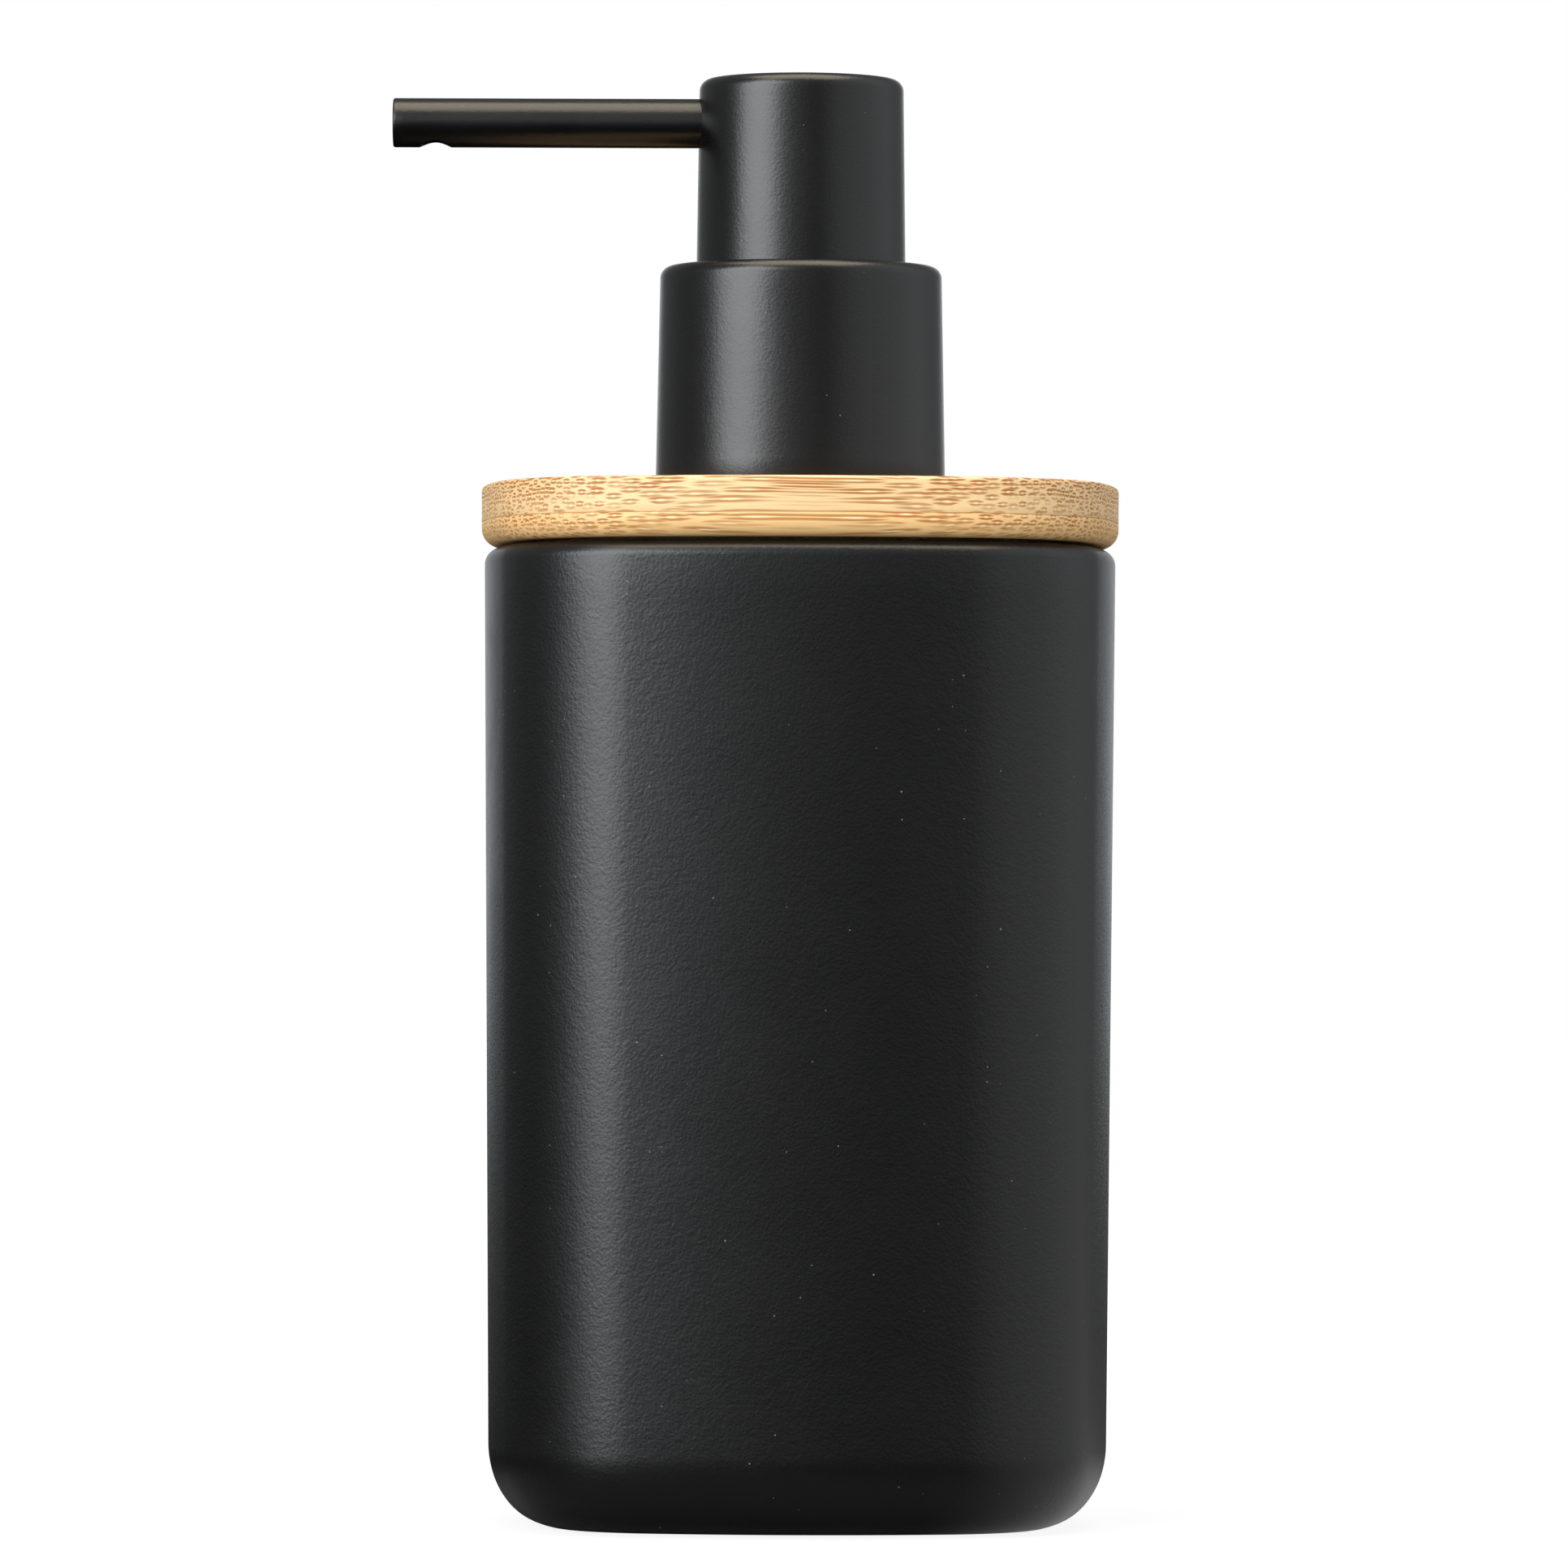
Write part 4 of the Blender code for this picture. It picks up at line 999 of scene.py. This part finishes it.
class BuildLid(bpy.types.Operator):
    """Builds the bamboo lid, its plug and its seal"""

    bl_idname = "dispenser.lid"
    bl_label = "Build lid"

    def execute(self, context):
        bottle, lid = context.scene.dispenser_bottle, context.scene.dispenser_lid
        low, high = bottom("bamboo_lid"), top("bamboo_lid")
        counterbore = radius("neck_insert") + GAP
        seat = high - 1.8 * MM
        broken = 0.15 * MM
        glue = low + lid.lower_ply
        nick = 0.05 * MM
        edge, round_low = lid.top_edge, lid.bottom_edge
        meridian = [
            (0.0, NECK_HOLE, low),
            *outlines(arc((round_low, low + round_low), -round_low, TAU / 4, 0.0, 12)),
            *outlines([(0.0, glue - 2 * nick), (nick, glue), (0.0, glue + 2 * nick)]),
            *outlines(run((0.0, glue + 1.0 * MM), (0.0, high - edge), 3)[:-1]),
            *outlines(arc((edge, high - edge), -edge, 0.0, -TAU / 4, 6)),
            (0.0, counterbore + broken, high),
            (0.0, counterbore, high - broken),
            (0.0, counterbore, seat),
            (0.0, NECK_HOLE, seat),
            (0.0, NECK_HOLE, low),
        ]
        outline = outline_sizes(bottle, lid.overhang, lean=False)
        board = sweep("bamboo_lid_board", meridian, FINISHES["bamboo"], bottle.steps, outline)
        settle(board, "bamboo_lid")
        self.plug(bottle)
        return {"FINISHED"}

    def plug(self, bottle):
        low, high = bottom("lid_plug"), top("lid_plug")
        half, seal_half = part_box("lid_plug")[1].x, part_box("lid_seal")[1].x
        seal_low, seal_high = bottom("lid_seal"), top("lid_seal")
        groove = 1.9 * MM
        edge = 0.4 * MM
        hub = NECK_HOLE + 1.6 * MM
        skirt = 3.0 * MM
        hollow = low + 1.2 * MM
        groove_low, groove_high = seal_low - GAP, seal_high + GAP
        meridian = [
            (0.0, NECK_HOLE, low),
            (0.0, hub, low),
            (0.0, hub, hollow),
            *outlines([(skirt, hollow), (skirt, low)]),
            *outlines(arc((edge, low + edge), -edge, TAU / 4, 0.0, 4)),
            *outlines([(0.0, groove_low), (groove, groove_low), (groove, groove_high)]),
            *outlines([(0.0, groove_high)]),
            *outlines(arc((edge, high - edge), -edge, 0.0, -TAU / 4, 4)),
            (0.0, NECK_HOLE, high),
            (0.0, NECK_HOLE, low),
        ]
        plastic = FINISHES["natural_plastic"]
        outline = outline_sizes(bottle, half - bottle.half_width, lean=False)
        settle(sweep("lid_plug_disc", meridian, plastic, PLUG_ROUND, outline), "lid_plug")

        section, middle = (seal_high - seal_low) / 2, (seal_low + seal_high) / 2
        ring = outlines(arc((section, middle), section, 0.0, TAU, 16))
        outline = outline_sizes(bottle, seal_half - bottle.half_width, lean=False)
        seal = sweep("lid_seal_ring", ring, FINISHES["silicone"], PLUG_ROUND, outline)
        settle(seal, "lid_seal")


class BuildNeck(bpy.types.Operator):
    """Builds the threaded neck, its washer and its nut"""

    bl_idname = "dispenser.neck"
    bl_label = "Build neck"

    def execute(self, context):
        pump = context.scene.dispenser_pump
        rim, low = top("neck_insert"), bottom("neck_insert")
        deck = top("bamboo_lid")
        flange = radius("neck_insert")
        flange_low = deck - 1.5 * MM
        edge = 0.35 * MM
        profile = [
            *arc((NECK_BARREL - edge, rim - edge), edge, TAU / 4, 0.0, 4),
            (NECK_BARREL, deck + edge),
            *arc((NECK_BARREL + edge, deck + edge), edge, TAU / 2, TAU * 3 / 4, 3)[1:],
            *arc((flange - edge, deck - edge), edge, TAU / 4, 0.0, 4),
            *arc((flange - edge, flange_low + edge), edge, 0.0, -TAU / 4, 4),
            (NECK_BARREL, flange_low),
            (NECK_BARREL, low + edge),
            (NECK_BARREL - edge, low),
            (NECK_BORE + edge, low),
            (NECK_BORE, low + edge),
            (NECK_BORE, rim - edge),
            (NECK_BORE + edge, rim),
        ]
        natural = FINISHES["natural_plastic"]
        neck = turned("neck_insert_tube", profile, natural, NECK_ROUND)
        turns, stand_out = 1.25, 0.1 * MM
        ridge = thread("neck_ridge", NECK_BARREL + stand_out, pump, turns, 0.0, natural)
        settle(combine_meshes(neck, ridge, "UNION"), "neck_insert")

        self.nut(natural)
        silicone, edge = FINISHES["silicone"], 0.15 * MM
        washer = flat_ring("neck_washer_ring", "neck_washer", NECK_HOLE, edge, silicone)
        settle(washer, "neck_washer")
        return {"FINISHED"}

    def nut(self, natural):
        low, high = bottom("lock_nut"), top("lock_nut")
        corner = (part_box("lock_nut")[1].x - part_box("lock_nut")[0].x) / 2
        edge = 0.5 * MM
        bevel = 1.2 * MM
        past_flats = 0.3 * MM
        face = corner * math.cos(TAU / 12) + past_flats
        profile = [
            (corner, high - bevel), (corner, low + bevel), (face, low), (NECK_HOLE + edge, low),
            (NECK_HOLE, low + edge), (NECK_HOLE, high - edge), (NECK_HOLE + edge, high), (face, high),
        ]
        nut = turned("lock_nut_ring", profile, natural, NECK_ROUND)
        over, under = high + PAST, low - PAST
        profile = [(0.0, over), (corner, over), (corner, under), (0.0, under)]
        hexagon = turned("nut_flats", profile, natural, 6, closed=False)
        settle(combine_meshes(nut, hexagon, "INTERSECT"), "lock_nut")


def thread(name, across, pump, turns, offset, material):
    """A thread ridge. Its offset is how far it stands above the neck's own, as a share of the pitch."""
    start = top("bamboo_lid") + pump.ridge + THREAD_START
    values = {
        "Radius": across, "Bottom": start + offset / 2 * pump.pitch, "Height": turns * pump.pitch,
        "Turns": turns, "Start turn": -offset / 2, "Bar radius": pump.ridge, "Taper": 0.06,
        "Steps per turn": 64, "Sides": 12, "Material": material,
    }
    return tidy_mesh(with_tree(seed(name), TREES["helix"], values))


def flat_ring(name, node_name, inner, edge, material, steps=NECK_ROUND):
    """A flat ring round a bore, as tall and wide as its node, with its edges broken."""
    outer, low, high = radius(node_name), bottom(node_name), top(node_name)
    profile = [
        *arc((outer - edge, high - edge), edge, TAU / 4, 0.0, 3),
        *arc((outer - edge, low + edge), edge, 0.0, -TAU / 4, 3),
        *arc((inner + edge, low + edge), edge, -TAU / 4, -TAU / 2, 3),
        *arc((inner + edge, high - edge), edge, TAU / 2, TAU / 4, 3),
    ]
    return turned(name, profile, material, steps)


class BuildClosure(bpy.types.Operator):
    """Builds the collar, the threaded cap under it and the gasket"""

    bl_idname = "dispenser.closure"
    bl_label = "Build closure"

    def execute(self, context):
        pump = context.scene.dispenser_pump
        self.collar()
        self.cap(pump)
        silicone, bore, edge = FINISHES["silicone"], NECK_BORE + 0.1 * MM, 0.12 * MM
        gasket = flat_ring("housing_gasket_ring", "housing_gasket", bore, edge, silicone)
        settle(gasket, "housing_gasket")
        return {"FINISHED"}

    def collar(self):
        low, high = bottom("collar_shell"), top("collar_shell")
        wide = radius("collar_shell")
        narrow = wide - 0.46 * MM
        wall, lip, round_top, edge = 1.3 * MM, 1.6 * MM, 1.4 * MM, 0.4 * MM
        opening = radius("actuator_head") + 0.4 * MM
        foot = 0.25 * MM
        profile = [
            *arc((opening + edge, high - edge), edge, TAU / 2, TAU / 4, 6),
            *arc((narrow - round_top, high - round_top), round_top, TAU / 4, 0.0, 14),
            *run((narrow, high - round_top), (wide, low + foot), 10)[1:-1],
            *arc((wide - foot, low + foot), foot, 0.0, -TAU / 4, 3),
            (wide - wall, low),
            (narrow - wall, high - lip),
            (opening, high - lip),
        ]
        settle(turned("collar_shell_cover", profile, FINISHES["black_plastic"], ROUND), "collar_shell")

    def cap(self, pump):
        low, high = bottom("closure_cap"), top("closure_cap")
        outer = radius("closure_cap")
        inner, hole, ceiling, edge = 13.5 * MM, 8.3 * MM, high - 1.3 * MM, 0.5 * MM
        root = outer - 0.35 * MM
        band = low + 0.8 * MM
        broken = 0.2 * MM
        profile = [
            (hole, high - broken), (hole + broken, high),
            *arc((root - edge, high - edge), edge, TAU / 4, 0.0, 5),
            (root, band), (outer, band), (outer, low), (inner, low),
            (inner, ceiling), (hole, ceiling),
        ]
        natural = FINISHES["natural_plastic"]
        cap = turned("closure_cap_shell", profile, natural, NECK_ROUND)
        turns, between_ridges = 1.0, 0.5
        ridge = thread("cap_ridge", inner, pump, turns, between_ridges, natural)
        combine_meshes(cap, ridge, "UNION")

        rib = 0.4 * MM
        rib_low = low + 0.4 * MM
        height = high - edge - rib_low
        values = {
            "Count": 48, "Radius": outer - rib - 0.02 * MM, "Middle height": rib_low + height / 2,
            "Rib radius": rib, "Rib height": height, "Material": natural,
        }
        grips = tidy_mesh(with_tree(seed("cap_grips"), TREES["ribs"], values))
        settle(combine_meshes(cap, grips, "UNION"), "closure_cap")


class BuildPump(bpy.types.Operator):
    """Builds the pump under the collar: housing, valves, stem, spring and dip tube"""

    bl_idname = "dispenser.pump"
    bl_label = "Build pump"

    def execute(self, context):
        self.housing()
        self.guide_and_stem()
        self.piston_and_valve()
        self.spring(context.scene.dispenser_pump)
        self.ball_and_tube()
        return {"FINISHED"}

    def housing(self):
        low, high = bottom("pump_housing"), top("pump_housing")
        flange = radius("pump_housing")
        floor = bottom("ball_retainer") - GAP
        ball = radius("inlet_ball")
        bore, wall = 6.5 * MM, 1.1 * MM
        barrel = bore + wall
        chamber = ball + 0.6 * MM
        skin = chamber + wall
        tube = radius("dip_tube") + GAP
        socket_wall = tube + 1.4 * MM
        socket_top = top("dip_tube") + GAP
        seat = 2.0 * MM
        seat_bottom = socket_top + 2.4 * MM
        seat_top = seat_bottom + chamber - seat
        under = high - 1.0 * MM
        edge, broken = 0.25 * MM, 0.1 * MM
        bead, bead_top = 0.245 * MM, under - 6.0 * MM
        profile = [
            *arc((flange - edge, high - edge), edge, TAU / 4, 0.0, 3),
            (flange, under + broken), (flange - broken, under),
            (barrel, under),
            (barrel, bead_top), (barrel + bead, bead_top - 0.3 * MM),
            (barrel + bead, bead_top - 0.8 * MM), (barrel, bead_top - 1.1 * MM),
            (barrel, floor + edge), (barrel - edge, floor),
            (skin, floor - (barrel - skin)),
            (skin, socket_top), (socket_wall, socket_top - 1.0 * MM),
            (socket_wall, low + edge), (socket_wall - edge, low),
            (tube, low), (tube, socket_top), (seat, socket_top), (seat, seat_bottom),
            (chamber, seat_top), (chamber, floor), (bore, floor), (bore, high),
        ]
        settle(turned("pump_housing_barrel", profile, FINISHES["natural_plastic"]), "pump_housing")

    def guide_and_stem(self):
        natural = FINISHES["natural_plastic"]
        low, high = bottom("stem_guide"), top("stem_guide")
        flange = radius("stem_guide")
        deck = top("pump_housing") + GAP
        sleeve, bore, edge = 6.2 * MM, 4.1 * MM, 0.3 * MM
        profile = [
            (bore + edge, high),
            *arc((flange - edge, high - edge), edge, TAU / 4, 0.0, 4),
            (flange, deck), (sleeve, deck), (sleeve, low + edge), (sleeve - edge, low),
            (bore + edge, low), (bore, low + edge), (bore, high - edge),
        ]
        settle(turned("stem_guide_bush", profile, natural), "stem_guide")

        low, high = bottom("stem"), top("stem")
        outer = radius("stem")
        foot, bore = outer - 0.8 * MM, outer - 1.6 * MM
        shoulder = bottom("stem_guide") - 2.6 * MM
        edge, tip = 0.2 * MM, 0.4 * MM
        profile = [
            (outer - tip, high), (outer, high - 2 * tip),
            *run((outer, high - 3 * tip), (outer, shoulder + edge), 8),
            (outer - edge, shoulder), (foot, shoulder),
            *run((foot, shoulder - edge), (foot, low + edge), 6),
            (foot - edge, low), (bore, low), (bore, high),
        ]
        tube = turned("stem_tube", profile, natural)
        port_height, port_radius = low + 1.6 * MM, 0.7 * MM
        across = Matrix.Translation((0, 0, port_height)) @ ALONG_SPOUT
        reach = outer + PAST
        profile = [(0.0, reach), (port_radius, reach), (port_radius, -reach), (0.0, -reach)]
        port = turned("stem_port", profile, natural, 24, closed=False, turn=across)
        settle(combine_meshes(tube, port, "DIFFERENCE"), "stem")

    def piston_and_valve(self):
        low, high = bottom("piston"), top("piston")
        outer = radius("piston")
        inner, waist, lip = 3.3 * MM, outer - 1.0 * MM, 1.2 * MM
        root, rim, taper, edge = waist + 0.3 * MM, outer - 0.35 * MM, 0.25 * MM, 0.2 * MM
        middle, half_waist = (low + high) / 2, 0.4 * MM
        profile = [
            (rim, high), (outer, high - taper), (outer, high - 0.7 * lip), (root, high - 1.5 * lip),
            (waist, middle + half_waist), (waist, middle - half_waist),
            (root, low + 1.5 * lip), (outer, low + 0.7 * lip), (outer, low + taper), (rim, low),
            (inner + edge, low), (inner, low + edge), (inner, high - edge), (inner + edge, high),
        ]
        settle(turned("piston_seal", profile, FINISHES["soft_polymer"]), "piston")

        low, high = bottom("stem_valve"), top("stem_valve")
        plate = bottom("piston") - GAP
        wide, narrow, spigot = radius("stem_valve"), 5.0 * MM, 1.9 * MM
        edge, rim = 0.2 * MM, 0.15 * MM
        profile = [
            (0.0, high), (spigot - edge, high), (spigot, high - edge), (spigot, plate),
            (narrow - edge, plate), (narrow, plate - edge), (narrow, plate - 1.6 * MM),
            (wide, low + rim), (wide - rim, low), (0.0, low),
        ]
        settle(turned("stem_valve_plug", profile, FINISHES["natural_plastic"], closed=False), "stem_valve")

    def spring(self, pump):
        low, high = bottom("return_spring"), top("return_spring")
        across = radius("return_spring") - pump.wire
        values = {
            "Radius": across, "Bottom": low + pump.wire, "Height": high - low - 2 * pump.wire,
            "Turns": pump.coils, "Start turn": 0.0, "Closed turns": 1.0, "Bar radius": pump.wire,
            "Steps per turn": 48, "Sides": 12, "Material": FINISHES["steel"],
        }
        wire = tidy_mesh(with_tree(seed("return_spring_coil"), TREES["helix"], values))
        settle(wire, "return_spring")
        travel = next(joint["range_m"][1] for joint in frame["joints"] if joint["name"] == "pump_stroke")
        keep = 1 - travel / (high - low)
        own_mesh(wire)

    def ball_and_tube(self):
        low, high = bottom("inlet_ball"), top("inlet_ball")
        across, middle = (high - low) / 2, (high + low) / 2
        profile = arc((0.0, middle), across, TAU / 4, -TAU / 4, 32)
        settle(turned("inlet_ball_bearing", profile, FINISHES["steel"], closed=False), "inlet_ball")

        natural = FINISHES["natural_plastic"]
        hole, edge = 1.8 * MM, 0.2 * MM
        seat = flat_ring("ball_retainer_disc", "ball_retainer", hole, edge, natural, INNER_ROUND)
        settle(seat, "ball_retainer")

        low, high = bottom("dip_tube"), top("dip_tube")
        outer = radius("dip_tube")
        inner = outer - 0.85 * MM
        edge = 0.15 * MM
        profile = [
            *arc((outer - edge, high - edge), edge, TAU / 4, 0.0, 3),
            *arc((outer - edge, low + edge), edge, 0.0, -TAU / 4, 3),
            (inner, low), (inner, high),
        ]
        settle(turned("dip_tube_pipe", profile, FINISHES["soft_polymer"]), "dip_tube")


class BuildActuator(bpy.types.Operator):
    """Builds the push head, its core and the spout"""

    bl_idname = "dispenser.actuator"
    bl_label = "Build actuator"

    def execute(self, context):
        pump = context.scene.dispenser_pump
        self.head()
        self.core()
        self.spout(pump)
        return {"FINISHED"}

    def head(self):
        low, high = bottom("actuator_head"), top("actuator_head")
        wide = radius("actuator_head")
        narrow, wall, edge = wide - 0.3 * MM, 1.3 * MM, 1.4 * MM
        flat = narrow - edge - 0.6 * MM
        ceiling = high - wall
        foot = 0.25 * MM
        black = FINISHES["black_plastic"]
        profile = [
            (0.0, high),
            *run((narrow / 4, high), (flat, high), 3),
            *arc((narrow - edge, high - edge), edge, TAU / 4, 0.0, 14),
            *run((narrow, high - edge), (wide, low + foot), 26)[1:-1],
            *arc((wide - foot, low + foot), foot, 0.0, -TAU / 4, 3),
            (wide - wall, low),
            (narrow - wall, ceiling),
            (0.0, ceiling),
        ]
        head = turned("actuator_head_shell", profile, black, ROUND, closed=False)
        outside, inside = wide + 4 * PAST, narrow - wall - 2 * PAST
        hole = radius("spout_tube") + 0.22 * MM
        profile = [(0.0, outside), (hole, outside), (hole, inside), (0.0, inside)]
        cut = turned("spout_hole", profile, black, closed=False, turn=spout_turn())
        settle(combine_meshes(head, cut, "DIFFERENCE"), "actuator_head")

    def core(self):
        low, high = bottom("actuator_core"), top("actuator_core")
        core = 5.5 * MM
        socket_radius = radius("stem") + GAP
        web, web_low = radius("actuator_core"), low + 5.0 * MM
        web_high = web_low + 1.2 * MM
        stop = top("stem") + GAP
        nipple, edge, broken = 1.83 * MM, 0.3 * MM, 0.1 * MM
        channel = nipple - 0.65 * MM
        throat_top = (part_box("spout_tube")[0].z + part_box("spout_tube")[1].z) / 2 + channel
        natural = FINISHES["natural_plastic"]
        profile = [
            (0.0, high), (core - edge, high), (core, high - edge),
            *run((core, high - 1.0 * MM), (core, web_high), 8),
            (web - broken, web_high), (web, web_high - broken),
            (web, web_low + broken), (web - broken, web_low), (core, web_low),
            (core, low + edge), (core - edge, low), (socket_radius + edge, low),
            (socket_radius, low + edge), (socket_radius, stop), (nipple, stop),
            (nipple, throat_top), (0.0, throat_top),
        ]
        body = turned("actuator_core_column", profile, natural, closed=False)
        end, root, edge = -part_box("actuator_core")[0].x, core - 1.2 * MM, 0.2 * MM
        profile = [(0.0, end), (nipple - edge, end), (nipple, end - edge), (nipple, root), (0.0, root)]
        tube = turned("core_nipple", profile, natural, BORE_ROUND, closed=False, turn=spout_turn())
        combine_meshes(body, tube, "UNION")
        outside, inside = end + 2 * PAST, 0.5 * MM
        profile = [(0.0, outside), (channel, outside), (channel, inside), (0.0, inside)]
        bore = turned("core_bore", profile, natural, BORE_ROUND, closed=False, turn=spout_turn())
        settle(combine_meshes(body, bore, "DIFFERENCE"), "actuator_core")

    def spout(self, pump):
        low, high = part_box("spout_tube")
        outer = radius("spout_tube")
        bore = outer - pump.spout
        start, tip = -high.x, -low.x
        black = FINISHES["black_plastic"]
        edge, broken = 0.25 * MM, 0.1 * MM
        profile = [
            (bore, tip - broken), (bore + broken, tip),
            *arc((outer - edge, tip - edge), edge, TAU / 4, 0.0, 5),
            *run((outer, tip - edge), (outer, start + broken), 36)[1:-1],
            (outer, start), (bore, start),
        ]
        tube = turned("spout_pipe", profile, black, turn=spout_turn())
        hole = Matrix.Translation((pump.outlet_from_tip - tip, 0, (low.z + high.z) / 2))
        below = -outer - 2 * PAST
        profile = [(0.0, 0.0), (pump.outlet, 0.0), (pump.outlet, below), (0.0, below)]
        cut = turned("outlet_drill", profile, black, 48, closed=False, turn=hole)
        settle(combine_meshes(tube, cut, "DIFFERENCE"), "spout_tube")

        across, end = bore - 0.02 * MM, tip - 0.12 * MM
        inner_end = tip - (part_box("spout_end_plug")[1].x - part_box("spout_end_plug")[0].x)
        edge = 0.15 * MM
        profile = [
            (0.0, end), (across - edge, end), (across, tip - 0.25 * MM), (across, inner_end),
            (0.0, inner_end),
        ]
        plug = turned("spout_end_disc", profile, black, closed=False, turn=spout_turn())
        settle(plug, "spout_end_plug")


WHITE = (1.0, 1.0, 1.0)
COOL = (0.95, 0.975, 1.0)


class BuildStudio(bpy.types.Operator):
    """Sets up the floor, the lamps, the surroundings and the camera"""

    bl_idname = "dispenser.studio"
    bl_label = "Build studio"

    def execute(self, context):
        studio = context.scene.dispenser_studio
        self.floor(studio)
        self.lights(studio)
        self.world(context.scene, studio)
        self.camera(context.scene, studio)
        context.scene.view_settings.view_transform = "Standard"
        return {"FINISHED"}

    def floor(self, studio):
        mesh = bpy.data.meshes.new("studio_floor")
        edit = bmesh.new()
        half_side = 6.0
        bmesh.ops.create_grid(edit, x_segments=1, y_segments=1, size=half_side)
        edit.to_mesh(mesh)
        edit.free()
        floor = bpy.data.objects.new("studio_floor", mesh)
        bpy.context.scene.collection.objects.link(floor)
        mesh.materials.append(floor_material(studio))

    def lights(self, studio):
        middle = Vector((0, 0, 85 * MM))
        # Place, width and height, tilt in degrees, whether it is mirrored, brightness and colour
        for name, spot, width, height, lean, mirrored, radiance, colour in (
            ("key_softbox", (-0.66, -0.625, 0.40), 0.66, 0.80, -38.0, True, studio.key, COOL),
            ("top_softbox", (0.0, -0.16, 0.95), 1.0, 0.72, 0.0, True, studio.roof, studio.roof_colour),
            ("fill_softbox", (-0.50, -0.84, 0.36), 0.60, 0.60, 0.0, False, studio.fill, WHITE),
            ("roof_softbox", (0.0, -0.16, 1.00), 1.0, 0.72, 0.0, False, studio.roof_fill, WHITE),
        ):
            data = bpy.data.lights.new(name, "AREA")
            data.shape = "RECTANGLE"
            data.size = width
            data.size_y = height
            data.energy = radiance * math.pi * width * height
            data.color = colour
            lamp = bpy.data.objects.new(name, data)
            bpy.context.scene.collection.objects.link(lamp)
            lamp.location = spot
            facing = (middle - Vector(spot)).to_track_quat("-Z", "Y")
            lamp.rotation_euler = (facing @ Quaternion((0, 0, 1), math.radians(lean))).to_euler()
            lamp.visible_camera = False
            # Some lamps are only mirrored, and the others only light matt surfaces
            lamp.visible_diffuse = not mirrored
            lamp.visible_glossy = mirrored

    def world(self, scene, studio):
        """A white cove behind, a wide fill at the right and a dim room, and white to the camera."""
        world = bpy.data.worlds.new("studio")
        scene.world = world
        world.use_nodes = True
        tree = world.node_tree
        tree.nodes.clear()
        way = separate(tree, node(tree, "ShaderNodeTexCoord").outputs["Generated"])
        behind = remap(tree, way["Y"], 0.9, 0.99) * studio.cove
        right, left = remap(tree, way["X"], 0.22, 0.8), remap(tree, way["X"], 0.22, 0.08)
        beside = right * remap(tree, way["Y"], 0.85, 0.1) * studio.side
        ahead = left * remap(tree, way["Y"], -0.5, -0.9) * studio.front
        room = behind + beside + (ahead + studio.room)
        seen = outputs(tree, "ShaderNodeLightPath")["Is Camera Ray"]
        level = room * (1.0 - seen) + seen
        tint = mix_colour(tree, seen, (*COOL, 1.0), (*WHITE, 1.0))
        back = node(tree, "ShaderNodeBackground", {"Color": tint, "Strength": level})
        node(tree, "ShaderNodeOutputWorld", {"Surface": back})

    def camera(self, scene, studio):
        """A level camera with a long lens, a little left of the middle and turned by a trace."""
        data = bpy.data.cameras.new("camera")
        data.sensor_width = 36.0
        data.lens = studio.lens
        data.shift_y = studio.shift
        data.clip_start = 0.05
        data.clip_end = 20.0
        camera = bpy.data.objects.new("camera", data)
        scene.collection.objects.link(camera)
        spot = (-studio.camera_left, -studio.camera_away, studio.camera_height)
        place = Matrix.Translation(spot)
        level = Matrix.Rotation(TAU / 4, 4, "X")
        roll = Matrix.Rotation(math.radians(studio.roll), 4, "Z")
        camera.matrix_world = place @ level @ roll
        scene.camera = camera


class DispenserPanel(bpy.types.Panel):
    """Lists the settings and what can be built"""

    bl_idname = "VIEW3D_PT_dispenser"
    bl_label = "Soap pump dispenser"
    bl_space_type = "VIEW_3D"
    bl_region_type = "UI"
    bl_category = "Dispenser"

    def draw(self, context):
        layout = self.layout
        for name, (kind, title) in SETTINGS.items():
            box = layout.box()
            box.label(text=title)
            group = getattr(context.scene, name)
            for key in kind.__annotations__:
                box.prop(group, key)
        for operator in BUILDERS:
            layout.operator(operator.bl_idname)


SETTINGS = {
    "dispenser_bottle": (BottleSettings, "Bottle"),
    "dispenser_lid": (LidSettings, "Lid"),
    "dispenser_pump": (PumpSettings, "Pump"),
    "dispenser_finish": (FinishSettings, "Finishes"),
    "dispenser_studio": (StudioSettings, "Studio"),
}
BUILDERS = (
    BuildTools, BuildBottle, BuildLid, BuildNeck, BuildClosure, BuildPump, BuildActuator, BuildStudio,
)


def register():
    for kind, _ in SETTINGS.values():
        bpy.utils.register_class(kind)
    for name, (kind, _) in SETTINGS.items():
        setattr(bpy.types.Scene, name, PointerProperty(type=kind))
    for kind in (*BUILDERS, DispenserPanel):
        bpy.utils.register_class(kind)


def unregister():
    for kind in (DispenserPanel, *reversed(BUILDERS)):
        bpy.utils.unregister_class(kind)
    for name in SETTINGS:
        delattr(bpy.types.Scene, name)
    for kind, _ in SETTINGS.values():
        bpy.utils.unregister_class(kind)


def main():
    register()
    bpy.ops.dispenser.tools()
    bpy.ops.dispenser.bottle()
    bpy.ops.dispenser.lid()
    bpy.ops.dispenser.neck()
    bpy.ops.dispenser.closure()
    bpy.ops.dispenser.pump()
    bpy.ops.dispenser.actuator()
    bpy.ops.dispenser.studio()


if __name__ == "__main__":
    main()
